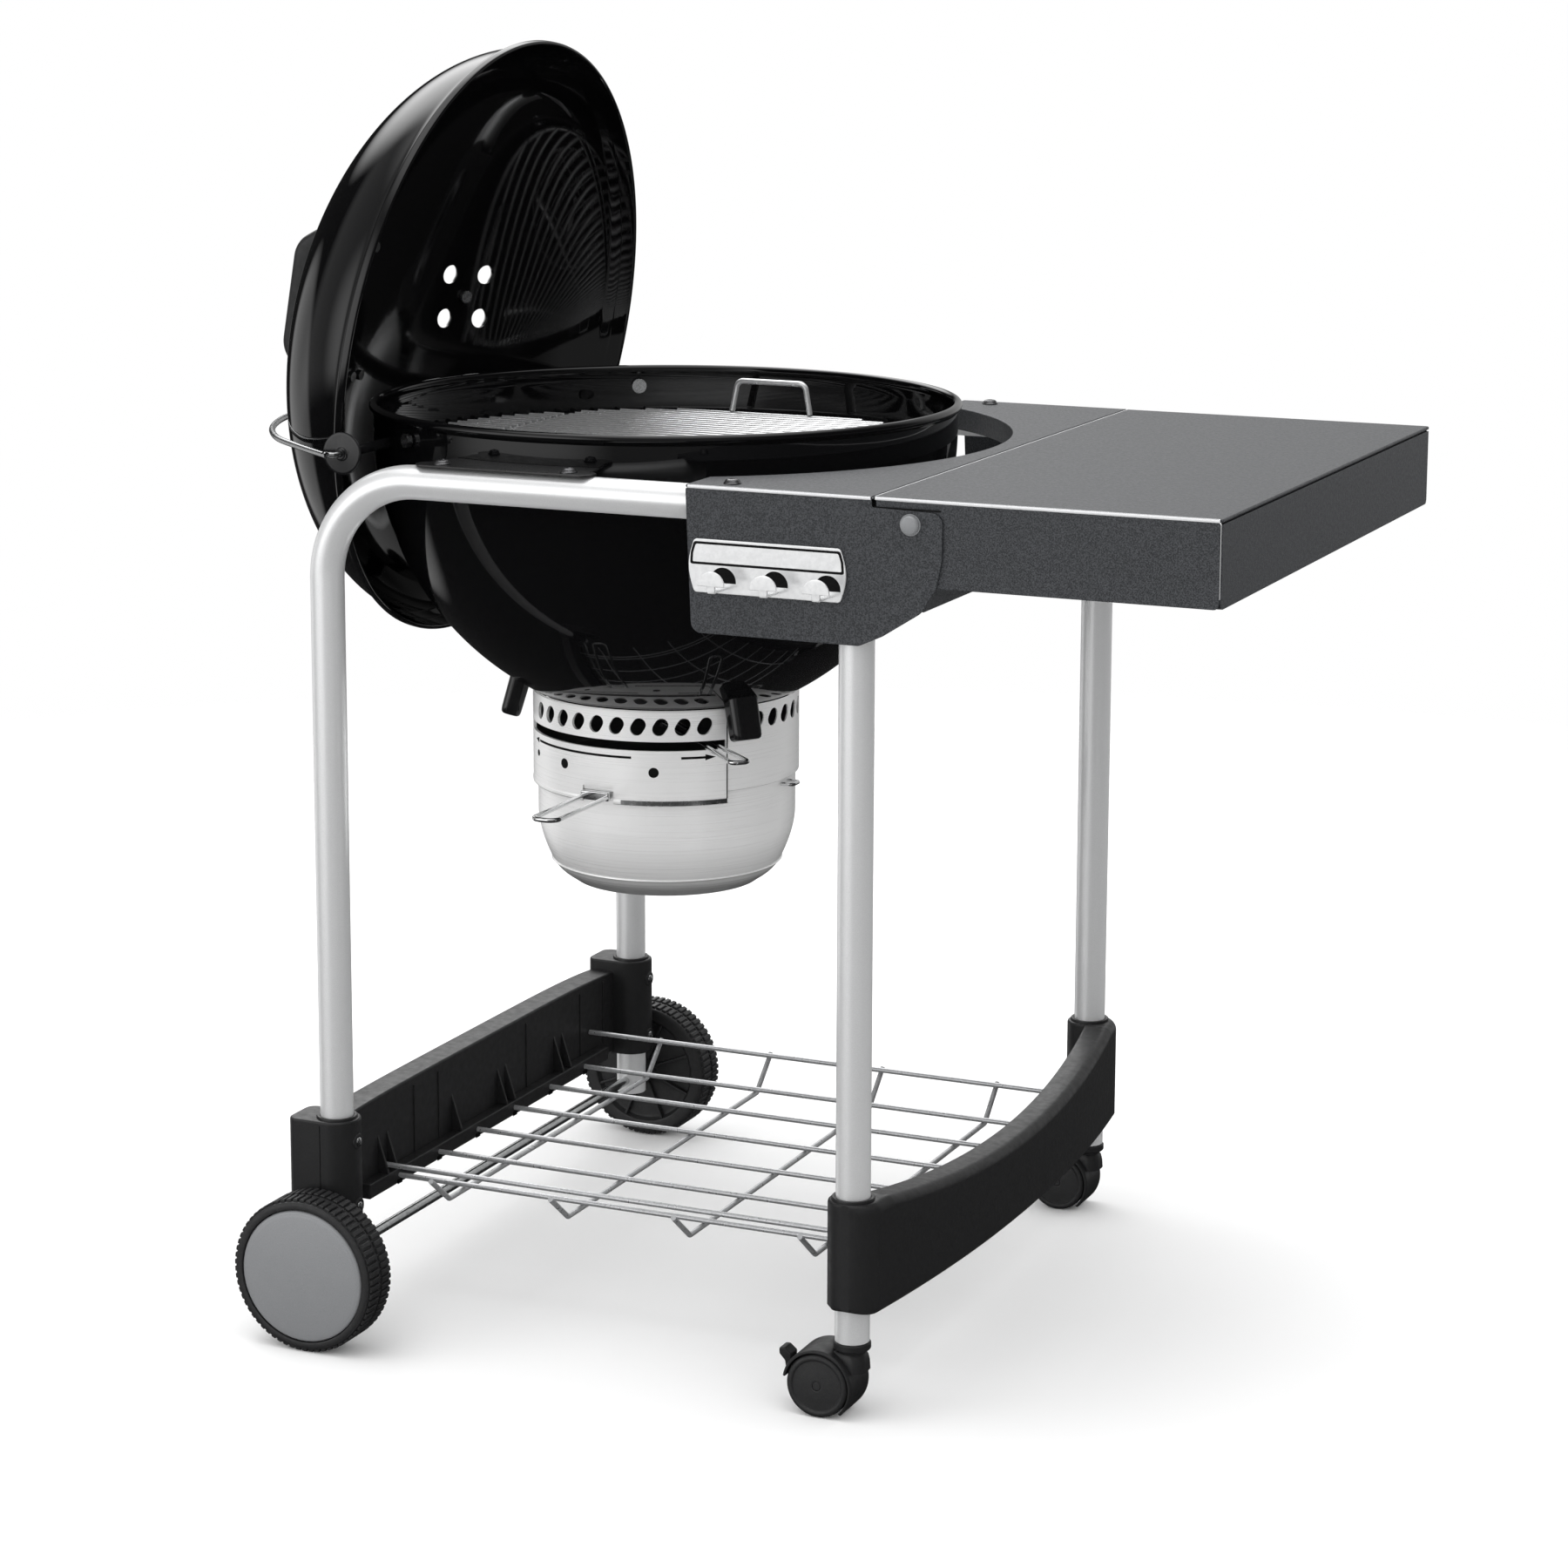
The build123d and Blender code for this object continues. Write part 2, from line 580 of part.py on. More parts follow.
# Ash sweeper: three blades that hug the bowl's bottom, hub and shaft
with BuildPart() as blade:
    with BuildSketch(pl_xz(0)):
        with BuildLine():
            lo = EllipticalCenterArc((0, BOWL_Z), BOWL_A - BOWL_T - 1.6, BOWL_B - BOWL_T - 1.6,
                                     start_angle=271.2, arc_size=28.8)
            hi = EllipticalCenterArc((0, BOWL_Z), BOWL_A - BOWL_T - 5.0, BOWL_B - BOWL_T - 5.0,
                                     start_angle=271.2, arc_size=28.8)
            Line(lo @ 0, hi @ 0)
            Line(lo @ 1, hi @ 1)
        make_face()
    revolve(axis=K_AXIS, revolution_arc=16)
with BuildPart() as sweeper:
    with Locations(at(0, 0, BOWL_Z - BOWL_B + BOWL_T + 1.6 + 4.2)):
        Cylinder(16, 8.4)
    with Locations(at(0, 0, 557)):
        Cylinder(4.0, 14)
    for k in range(3):
        add(blade.part.rotate(K_AXIS, 82 + 120 * k))
save(sweeper, "ash_sweeper")

# Lever of the sweeper: a wire loop that reaches out through the slot
LEVER_AZ = -45.5
with BuildPart() as lever:
    with Locations(at(0, 0, SLOT_Z - 3.5)):
        Cylinder(11, 6)
        Cylinder(4.0 + 0.1, 20, mode=Mode.SUBTRACT)
    rod([at(6, -6, SLOT_Z - 2.5), at(150, -6, SLOT_Z - 0.5), at(213, -9, SLOT_Z - 0.5), at(213, 9, SLOT_Z - 0.5),
         at(150, 6, SLOT_Z - 0.5), at(6, 6, SLOT_Z - 2.5)], 2.3, 6)
lever_part = lever.part.rotate(K_AXIS, LEVER_AZ)
lever_part.label = "sweeper_lever"
export_step(lever_part, "parts/sweeper_lever.step")

# Ash pot, its wire handle and the side catches
with BuildPart() as pot:
    with BuildSketch(pl_xz(0)):
        with BuildLine():
            # outside: straight wall, rounded shoulder, slightly bulged floor
            Line((POT_R, POT_HI), (POT_R, 468))
            ThreePointArc((POT_R, 468), (122, 436), (112.5, 417))
            ThreePointArc((112.5, 417), (104, 407), (92, 399))
            ThreePointArc((92, 399), (46, POT_LO + sag(92, 7, 46)), (0, POT_LO))
            Line((0, POT_LO), (0, POT_LO + 1.6))
            ThreePointArc((0, POT_LO + 1.6), (46, POT_LO + 1.6 + sag(91.5, 6.8, 46)), (91.5, 400.4))
            ThreePointArc((91.5, 400.4), (102.9, 408.2), (111.1, 418.0))
            ThreePointArc((111.1, 418.0), (120.5, 436.6), (POT_R - 1.6, 468.2))
            Line((POT_R - 1.6, 468.2), (POT_R - 1.6, POT_HI))
            Line((POT_R - 1.6, POT_HI), (POT_R, POT_HI))
        make_face()
    revolve(axis=K_AXIS)
save(pot, "ash_pot")
with BuildPart() as pot_handle:
    rod([at(-23.5, -125.9, 504.5), at(-23.5, -246, 504.5), at(1.5, -246, 504.5), at(1.5, -127.7, 504.5)], 2.3, 9)
    with Locations(at(-11, -136.6, 505.5)):
        Box(30, 5, 9)
save(pot_handle, "ash_pot_handle")
with BuildPart() as catches:
    for s in (1, -1):
        rod([at(s * 127.8, -8, 504), at(s * 140, -8, 504), at(s * 140, 8, 504), at(s * 127.8, 8, 504)], 1.8, 4)
save(catches, "ash_pot_catches")

# ------------------------------------------------------------- grates inside
# Tabs on the bowl's wall that carry the cooking grate
with BuildPart() as tabs:
    for a in (45, 135, 225, 315):
        ca, sa = cos(radians(a)), sin(radians(a))
        with BuildSketch(Plane(origin=at(ca * 262, sa * 262, GRATE_Z - 10.8), x_dir=(-sa, ca, 0), z_dir=(ca, sa, 0))):
            Rectangle(30, 2)
        extrude(amount=24)
        with BuildSketch(Plane(origin=at(ca * 276.2, sa * 276.2, GRATE_Z - 15.8), x_dir=(-sa, ca, 0), z_dir=(ca, sa, 0))):
            Rectangle(30, 12)
        extrude(amount=12)
    add(bowl_room.part, mode=Mode.INTERSECT)
save(tabs, "grate_tabs")

RING_WIRE = 4.0
RING_MID_Z = GRATE_Z - BAR_R - RING_WIRE + 1.0
BAR_Y = [PITCH * k for k in range(-17, 18)]
with BuildPart() as cooking_grate:
    with Locations(at(0, 0, RING_MID_Z)):
        Torus(GRATE_R, RING_WIRE)
    for s in (-1, 1):
        with Locations(at(s * (GRATE_R + FLAP_X) / 2 + s * 20, 0, RING_MID_Z)):
            Box(GRATE_R - FLAP_X + 36, 700, 30, mode=Mode.SUBTRACT)
    for s in (-1, 1):
        half = sqrt(GRATE_R ** 2 - (FLAP_X - 5) ** 2)
        with Locations(Location(at(s * (FLAP_X - 5), 0, RING_MID_Z), (90, 0, 0)),
                       Location(at(s * 62, 0, RING_MID_Z), (90, 0, 0))):
            Cylinder(3.2, 2 * half + 3)
    for y in BAR_Y:
        hl = min(FLAP_X - 2.5, sqrt(GRATE_R ** 2 - y ** 2) + 2)
        with Locations(Location(at(0, y, GRATE_Z), (0, 90, 0))):
            Cylinder(BAR_R, 2 * hl)
save(cooking_grate, "cooking_grate")

# Wire handles on the grate's outer bars
with BuildPart() as grate_handles:
    for s in (-1, 1):
        rod([at(-42, s * 246.5, GRATE_Z + 3.2), at(-36, s * 247.5, GRATE_Z + 34.5), at(40, s * 247.5, GRATE_Z + 34.5),
             at(46, s * 246.5, GRATE_Z + 3.2)], 3.0, 8)
save(grate_handles, "grate_handles")

# Two hinged flaps of the cooking grate
for name, s in (("left", -1), ("right", 1)):
    with BuildPart() as flap:
        with Locations(at(0, 0, RING_MID_Z)):
            Torus(GRATE_R, RING_WIRE)
        with Locations(at(-s * (300 - FLAP_X - 5.2) + 0, 0, RING_MID_Z)):
            Box(600, 700, 40, mode=Mode.SUBTRACT)
        half = sqrt(GRATE_R ** 2 - (FLAP_X + 8) ** 2)
        with Locations(Location(at(s * (FLAP_X + 8.6), 0, RING_MID_Z), (90, 0, 0))):
            Cylinder(3.0, 2 * half - 1)
        for y in [PITCH * k for k in range(-11, 12)]:
            x1 = sqrt(GRATE_R ** 2 - y ** 2) + 2
            x0 = FLAP_X + 4.6
            with Locations(Location(at(s * (x0 + x1) / 2, y, GRATE_Z), (0, 90, 0))):
                Cylinder(BAR_R, x1 - x0)
    save(flap, f"grate_flap_{name}")

# Charcoal grate low in the bowl
with BuildPart() as charcoal:
    with Locations(Location(at(70, 0, 660.6), (90, 0, 0)), Location(at(-70, 0, 660.6), (90, 0, 0))):
        Cylinder(3.2, 2 * sqrt(206 ** 2 - 70 ** 2) - 4)
    for y in [23 * k for k in range(-8, 9)]:
        hl = sqrt(206 ** 2 - y ** 2) + 1.5
        with Locations(Location(at(0, y, 666), (0, 90, 0))):
            Cylinder(3.2, 2 * hl)
    with Locations(at(0, 0, 660)):
        Torus(206, 4)
save(charcoal, "charcoal_grate")

# ---------------------------------------------------------------- side table
OUTLINE = [(PANEL_X0, TABLE_Z), (358.4, TABLE_Z), (358.4, 837), (424, 835), (424, 795), (419, 770), (405, 747),
           (369, 724), (347, 714), (186, 714)]
with BuildPart() as support:
    # top with the round cut for the kettle
    with BuildSketch(pl_xy(TABLE_Z - TABLE_T)):
        with Locations(((PANEL_X0 + 358.4) / 2, 0)):
            Rectangle(358.4 - PANEL_X0, 2 * PANEL_Y)
        Circle(CUT_R, mode=Mode.SUBTRACT)
    extrude(amount=TABLE_T)
    # lip along the cut
    with BuildSketch(pl_xy(824)):
        with Locations(((PANEL_X0 + 358.4) / 2, 0)):
            Rectangle(358.4 - PANEL_X0, 600)
        Circle(CUT_R, mode=Mode.SUBTRACT)
        with BuildSketch(pl_xy(824), mode=Mode.INTERSECT):
            Circle(CUT_R + TABLE_T)
    extrude(amount=22)
    # cheeks at the front and the rear
    for s in (-1, 1):
        with BuildSketch(pl_xz(s * PANEL_Y if s > 0 else -(PANEL_Y - TABLE_T))):
            with BuildLine():
                Polyline(*OUTLINE, (PANEL_X0, TABLE_Z))
            make_face()
        extrude(amount=TABLE_T)
    with Locations(Location(at(PIVOT_X, 0, PIVOT_Z), (90, 0, 0))):
        Cylinder(4.0 + FIT, 800, mode=Mode.SUBTRACT)
    with Locations(at(217, -YT, TABLE_Z), at(217, YT, TABLE_Z)):
        Cylinder(3.1, 12, mode=Mode.SUBTRACT)
    rounded = support.edges().filter_by(Axis.Y).filter_by(lambda e: e.length < 3)
    fillet([e for e in rounded if abs(e.center().X - (KX + 424)) < 1 and e.center().Z > 830], radius=10)
    rounded = support.edges().filter_by(Axis.Y).filter_by(lambda e: e.length < 3)
    fillet([e for e in rounded if abs(e.center().X - (KX + 186)) < 1 and e.center().Z < 720], radius=10)
save(support, "table_support")

# Bolts on the top of the fixed panel
with BuildPart() as panel_bolts:
    for s in (-1, 1):
        with BuildSketch(pl_xz(s * YT)):
            with BuildLine():
                z0 = TABLE_Z + 0.1
                Line((217, 844.2), (217, z0 + 4.4))
                ThreePointArc((217, z0 + 4.4), (217 + 5.4, z0 + 3.0), (217 + 8.0, z0))
                Polyline((225, z0), (220, z0), (220, 844.2), (217, 844.2))
            make_face()
        revolve(axis=Axis(at(217, s * YT, 0), (0, 0, 1)))
save(panel_bolts, "panel_bolts")

# Cross brace between the right legs, under the leaf
with BuildPart() as brace:
    with Locations(at(404, 0, 789)):
        Box(2, 662, 84)
    with Locations(at(398, 0, 748)):
        Box(14, 662, 2)
    for s in (-1, 1):
        with Locations(at(364, s * 300.7, 778)):
            Box(80, 2, 62)
    with Locations(*[Location(at(XR - 1.5, 0, z), (90, 0, 0)) for z in BRACE_BOLT_Z]):
        Cylinder(3.1, 640, mode=Mode.SUBTRACT)
save(brace, "table_brace")

# Bolts that hold the brace's ears on the legs
with BuildPart() as brace_bolts:
    for s in (-1, 1):
        for z in BRACE_BOLT_Z:
            with Locations(Location(at(XR - 1.5, s * 297.5, z), (90, 0, 0))):
                Cylinder(6.5, 4.2)
            with Locations(Location(at(XR - 1.5, s * 303, z), (90, 0, 0))):
                Cylinder(3.0, 9)
save(brace_bolts, "brace_bolts")

# Folding leaf
with BuildPart() as leaf:
    with BuildSketch(pl_xy(TABLE_Z - TABLE_T)):
        with Locations(((TABLE_X0 + TABLE_X1) / 2, 0)):
            Rectangle(TABLE_X1 - TABLE_X0, 2 * TABLE_Y)
    extrude(amount=TABLE_T)
    with Locations(at(TABLE_X1 - TABLE_T / 2, 0, TABLE_Z - FLANGE / 2)):
        Box(TABLE_T, 2 * TABLE_Y, FLANGE)
    for s in (-1, 1):
        with BuildSketch(pl_xz(s * TABLE_Y if s > 0 else -(TABLE_Y - TABLE_T))):
            with BuildLine():
                Polyline((PIVOT_X - 22, TABLE_Z), (TABLE_X1, TABLE_Z), (TABLE_X1, TABLE_Z - FLANGE),
                         (PIVOT_X, TABLE_Z - FLANGE), (PIVOT_X, PIVOT_Z), (PIVOT_X - 22, PIVOT_Z), (PIVOT_X - 22, TABLE_Z))
            make_face()
            with Locations((PIVOT_X, PIVOT_Z)):
                Circle(22)
        extrude(amount=TABLE_T)
    # turned-in lower edge of the end flange
    with Locations(at(TABLE_X1 - 7, 0, TABLE_Z - FLANGE + TABLE_T / 2)):
        Box(14, 2 * TABLE_Y - 8, TABLE_T)
    with Locations(Location(at(PIVOT_X, 0, PIVOT_Z), (90, 0, 0))):
        Cylinder(4.0 + FIT, 800, mode=Mode.SUBTRACT)
save(leaf, "folding_leaf")

# Pivot bolts of the leaf, head outside and nut inside
with BuildPart() as pivots:
    for s in (-1, 1):
        with Locations(Location(at(PIVOT_X, s * (PANEL_Y + 2.9), PIVOT_Z), (90, 0, 0))):
            Cylinder(8.4, 5.4)
        with Locations(Location(at(PIVOT_X, s * 334.5, PIVOT_Z), (90, 0, 0))):
            Cylinder(4.0, 10)
        with Locations(Location(at(PIVOT_X, s * 331.2, PIVOT_Z), (90, 0, 0))):
            Cylinder(7, 4.4)
save(pivots, "leaf_pivot_bolts")

# Plate on the front cheek and its three tool hooks
PLATE_Y = -(PANEL_Y + 0.1)
with BuildPart() as tool_plate:
    with BuildSketch(pl_xz(PLATE_Y)):
        with BuildLine():
            Line((190, 799), (330, 799))
            ThreePointArc((330, 799), (335.5, 775), (330, 751))
            Line((330, 751), (190, 751))
            ThreePointArc((190, 751), (184.5, 775), (190, 799))
        make_face()
    extrude(amount=1.6)
    fillet(tool_plate.edges().filter_by(Axis.Y), radius=4)
save(tool_plate, "tool_plate")
HOOK_X = (218.0, 268.0, 318.0)
HOOK_Y = PLATE_Y - 1.7         # back of the hooks' stems, on the plate
HOOK_OUT = 25.8                # reach of a hook
with BuildPart() as tool_hooks:
    for x in HOOK_X:
        # flat stem, then an upright half-round tongue
        with Locations(at(x, HOOK_Y - HOOK_OUT / 2, 756)):
            Box(8, HOOK_OUT, 2)
        with Locations(at(x, HOOK_Y - HOOK_OUT + 0.9, 759)):
            Box(8, 1.8, 8)
        with BuildSketch(pl_xz(HOOK_Y - HOOK_OUT + 1.8)):
            with Locations((x, 762)):
                Circle(12.8)
            with Locations((x, 762 - 15)):
                Rectangle(40, 30, mode=Mode.SUBTRACT)
        extrude(amount=1.8)
save(tool_hooks, "tool_hooks")

# ---------------------------------------------------------------- lid holder
SLEEVE_X, SLEEVE_Z = -190.5, 847.0
for name, s in (("front", -1), ("rear", 1)):
    with BuildPart() as sleeve:
        with Locations(Location(at(SLEEVE_X, s * 248, SLEEVE_Z), (90, 0, 0))):
            Cylinder(4.8, 112)
        with Locations(Location(at(SLEEVE_X, s * 298, SLEEVE_Z), (90, 0, 0))):
            Cylinder(20, 3)
        add(bowl_body.part, mode=Mode.SUBTRACT)
    save(sleeve, f"holder_sleeve_{name}")
with BuildPart() as holder:
    rod([at(SLEEVE_X, -304.1, SLEEVE_Z), at(SLEEVE_X, -321, SLEEVE_Z), at(-256, -270, SLEEVE_Z),
         at(-308, -222, SLEEVE_Z), at(-355, -148, SLEEVE_Z),
         at(-383, -60, SLEEVE_Z), at(-383, 60, SLEEVE_Z), at(-355, 148, SLEEVE_Z), at(-308, 222, SLEEVE_Z), at(-256, 270, SLEEVE_Z),
         at(SLEEVE_X, 321, SLEEVE_Z), at(SLEEVE_X, 304.1, SLEEVE_Z)], 3.0, 7.0)
save(holder, "lid_holder_wire")

# ----------------------------------------------------------------------- lid
DAMP_V = 171.0
DAMP_W = LID_B * sqrt(1 - (DAMP_V / LID_A) ** 2)
dn = Vector(0, DAMP_V / LID_A ** 2, DAMP_W / LID_B ** 2).normalized()
DAMP_N = Vector(0, dn.Y, 0) + LID_OUT * dn.Z
DAMP_C = lid_pt(0, DAMP_V, DAMP_W)
DAMP_PLANE = Plane(origin=DAMP_C, x_dir=LID_UP, z_dir=DAMP_N)
HANDLE_U = 66.0
HANDLE_MID = -6.0

with BuildPart() as lid:
    with BuildSketch(LID_PLANE):
        with BuildLine():
            h1 = 14.0
            o0, o1 = dome(LID_A, LID_B, 0, 1, (0, 20, 42, 64, 85.7))
            i0, i1 = dome(LID_A - LID_T, LID_B - LID_T, 0, 1, (0, 20, 42, 64, 85.7))
            Polyline(o1, (LID_RIM - 1.6, h1 - 4.5), (LID_RIM, 8.4), (LID_RIM, 0.8), (LID_RIM - 1, 0),
                     (LID_RIM - 2, 0), (LID_RIM - 2.2, 8), i1)
            Line(o0, i0)
        make_face()
    revolve(axis=LID_AXIS)
    # vent holes, rivet, handle screws
    with Locations(DAMP_PLANE):
        with PolarLocations(33, 4, start_angle=45):
            Cylinder(10, 40, mode=Mode.SUBTRACT)
        Cylinder(4.1, 40, mode=Mode.SUBTRACT)
    for u in (HANDLE_MID - HANDLE_U, HANDLE_MID + HANDLE_U):
        for v in (-8, 8):
            with Locations(Plane(origin=lid_pt(u, v, LID_B - 8), x_dir=LID_UP, z_dir=LID_OUT)):
                Cylinder(2.6, 40, mode=Mode.SUBTRACT)
save(lid, "lid")

# Lid handle: two feet and a grip
with BuildPart() as handle:
    with BuildSketch(Plane(origin=LID_PLANE.origin + Vector(0, 17, 0), x_dir=LID_UP, z_dir=(0, -1, 0))):
        with BuildLine():
            m = HANDLE_MID
            Polyline((m - 82, 150), (m - 79, 203), (m - 66, 230), (m - 40, 238), (m + 40, 238), (m + 66, 230),
                     (m + 79, 203), (m + 82, 150), (m + 52, 150), (m + 49, 193), (m + 40, 209), (m - 40, 209),
                     (m - 49, 193), (m - 52, 150), (m - 82, 150))
        make_face()
    extrude(amount=34)
    fillet(handle.edges().filter_by(Axis.Y), radius=4)
    add(lid_body.part, mode=Mode.SUBTRACT)
    for u in (HANDLE_MID - HANDLE_U, HANDLE_MID + HANDLE_U):
        for v in (-8, 8):
            with Locations(Plane(origin=lid_pt(u, v, LID_B - 8), x_dir=LID_UP, z_dir=LID_OUT)):
                Cylinder(2.6, 60, mode=Mode.SUBTRACT)
save(handle, "lid_handle")
with BuildPart() as handle_screws:
    for u in (HANDLE_MID - HANDLE_U, HANDLE_MID + HANDLE_U):
        w = LID_B * sqrt(1 - (u / LID_A) ** 2)
        for v in (-8, 8):
            with Locations(Plane(origin=lid_pt(u, v, w + 5), x_dir=LID_UP, z_dir=LID_OUT)):
                Cylinder(2.5, 24)
            with Locations(Plane(origin=lid_pt(u, v, w - 7.2), x_dir=LID_UP, z_dir=LID_OUT)):
                Cylinder(5.2, 5)
save(handle_screws, "lid_handle_screws")

# Lid damper: a turning disc with four holes and a tab, on a rivet
with BuildPart() as damper:
    with BuildSketch(Plane(origin=DAMP_C, x_dir=LID_UP, z_dir=LID_UP.cross(DAMP_N))):
        with BuildLine():
            Polyline((4.0 + FIT, 0.6), (54, -1.2), (54, 0.4), (4.0 + FIT, 2.2), (4.0 + FIT, 0.6))
        make_face()
    revolve(axis=Axis(DAMP_C, DAMP_N))
    with Locations(DAMP_PLANE):
        with PolarLocations(33, 4, start_angle=45):
            Cylinder(10.5, 40, mode=Mode.SUBTRACT)
    with BuildSketch(Plane(origin=DAMP_C + DAMP_N * 0.0, x_dir=LID_UP, z_dir=DAMP_N).offset(-0.4)):
        with Locations((60, 0)):
            RectangleRounded(26, 18, 5)
    extrude(amount=1.6)
    with BuildSketch(Plane(origin=DAMP_C, x_dir=LID_UP, z_dir=DAMP_N).offset(1.0)):
        with Locations((71.5, 0)):
            Rectangle(2.4, 16)
    extrude(amount=11)
save(damper, "lid_damper")
with BuildPart() as rivet:
    with Locations(DAMP_PLANE):
        Cylinder(4.0, 13)
    with Locations(DAMP_PLANE.offset(4.5)):
        Cylinder(8.5, 3.6)
    with Locations(DAMP_PLANE.offset(-4.6)):
        Cylinder(6.5, 4.2)
save(rivet, "damper_rivet")
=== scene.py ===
from math import acos, asin, atan2, ceil, cos, degrees, pi, radians, sin, sqrt, tan

import bmesh
import bpy
from mathutils import Matrix, Vector


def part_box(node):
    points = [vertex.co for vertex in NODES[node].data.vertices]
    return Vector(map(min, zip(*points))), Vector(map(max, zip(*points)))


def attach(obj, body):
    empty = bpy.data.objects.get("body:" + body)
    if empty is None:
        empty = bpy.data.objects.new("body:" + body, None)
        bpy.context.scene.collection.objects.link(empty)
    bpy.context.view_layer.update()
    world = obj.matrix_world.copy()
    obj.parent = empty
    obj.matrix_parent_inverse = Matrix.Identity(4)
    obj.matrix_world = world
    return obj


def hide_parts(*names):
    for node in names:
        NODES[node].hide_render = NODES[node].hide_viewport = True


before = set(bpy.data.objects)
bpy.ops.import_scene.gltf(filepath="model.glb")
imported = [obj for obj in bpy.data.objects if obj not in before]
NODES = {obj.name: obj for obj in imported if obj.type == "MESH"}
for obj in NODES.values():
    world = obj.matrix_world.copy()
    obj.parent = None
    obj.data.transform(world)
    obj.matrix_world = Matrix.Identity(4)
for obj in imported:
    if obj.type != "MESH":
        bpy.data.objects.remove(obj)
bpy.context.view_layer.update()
scene = bpy.context.scene

# All shapes below are given in millimetres from the kettle's axis, as the
# frame is built: KX carries them over to the middle of the whole grill.
KX = 500.0 * sum(v[0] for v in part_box("bowl"))


# ------------------------------------------------------------------ materials
def new_mat(name, metal=0.0, rough=0.5, spec=0.5, coat=0.0, coat_rough=0.05):
    m = bpy.data.materials.new(name)
    m.use_nodes = True
    nt = m.node_tree
    b = nt.nodes["Principled BSDF"]
    b.inputs["Metallic"].default_value = metal
    b.inputs["Roughness"].default_value = rough
    b.inputs["Specular IOR Level"].default_value = spec
    b.inputs["Coat Weight"].default_value = coat
    b.inputs["Coat Roughness"].default_value = coat_rough
    return m, nt, b


def noise(nt, scale, detail=3.0, stretch=(1, 1, 1), rough=0.55):
    tc = nt.nodes.new("ShaderNodeTexCoord")
    mp = nt.nodes.new("ShaderNodeMapping")
    mp.inputs["Scale"].default_value = stretch
    nz = nt.nodes.new("ShaderNodeTexNoise")
    nz.inputs["Scale"].default_value = scale
    nz.inputs["Detail"].default_value = detail
    nz.inputs["Roughness"].default_value = rough
    nt.links.new(tc.outputs["Object"], mp.inputs["Vector"])
    nt.links.new(mp.outputs["Vector"], nz.inputs["Vector"])
    return nz.outputs["Fac"]


def ramp(nt, fac, stops):
    r = nt.nodes.new("ShaderNodeValToRGB")
    el = r.color_ramp.elements
    while len(el) < len(stops):
        el.new(0.5)
    for e, (p, c) in zip(el, stops):
        e.position = p
        e.color = (c[0], c[1], c[2], 1.0) if isinstance(c, tuple) else (c, c, c, 1.0)
    nt.links.new(fac, r.inputs["Fac"])
    return r.outputs["Color"]


def bump(nt, b, height, strength, dist, chain=None):
    n = nt.nodes.new("ShaderNodeBump")
    n.inputs["Strength"].default_value = strength
    n.inputs["Distance"].default_value = dist
    nt.links.new(height, n.inputs["Height"])
    if chain is not None:
        nt.links.new(chain, n.inputs["Normal"])
    nt.links.new(n.outputs["Normal"], b.inputs["Normal"])
    return n.outputs["Normal"]


def finish_mat(name, lo, hi, scale, r_lo, r_hi, metal=0.0, spec=0.5, coat=0.0, coat_rough=0.05,
               stretch=(1, 1, 1), detail=3.0, bumps=(), r_scale=None, spread=(0.35, 0.65)):
    m, nt, b = new_mat(name, metal, r_lo, spec, coat, coat_rough)
    f = noise(nt, scale, detail, stretch)
    nt.links.new(ramp(nt, f, [(spread[0], lo), (spread[1], hi)]), b.inputs["Base Color"])
    g = noise(nt, r_scale or scale * 0.37, 2.0, stretch)
    nt.links.new(ramp(nt, g, [(0.3, r_lo), (0.7, r_hi)]), b.inputs["Roughness"])
    chain = None
    for bs, strength, dist, bst in bumps:
        chain = bump(nt, b, noise(nt, bs, 2.0, bst), strength, dist, chain)
    return m


M = {}
M["enamel"] = finish_mat("glossy_black_enamel", (0.0016, 0.0016, 0.0018), (0.0032, 0.0032, 0.0035), 900, 0.03, 0.055,
                         spec=0.42, bumps=((42, 0.03, 0.0005, (1, 1, 1)), (520, 0.008, 0.0002, (1, 1, 1))), r_scale=60)
M["tube"] = finish_mat("satin_silver_tube", (0.82, 0.825, 0.83), (0.885, 0.89, 0.895), 1400, 0.28, 0.36, metal=0.58,
                       bumps=((2600, 0.05, 0.0001, (1, 1, 1)),), r_scale=240)
M["table"] = finish_mat("hammertone_grey", (0.022, 0.0235, 0.026), (0.061, 0.064, 0.0695), 820, 0.36, 0.48, metal=0.10, spec=0.28,
                        detail=1.5, bumps=((760, 0.50, 0.0004, (1, 1, 1)), (210, 0.16, 0.0005, (1, 1, 1))), spread=(0.37, 0.66))
# painted highlight: a pale trim for the table's rolled edges, standing in for the light they catch
M["edge"] = finish_mat("painted_edge_highlight_grey", (0.66, 0.665, 0.675), (0.74, 0.745, 0.755), 900, 0.28, 0.36, metal=0.2,
                       bumps=((760, 0.12, 0.0003, (1, 1, 1)),), r_scale=200)


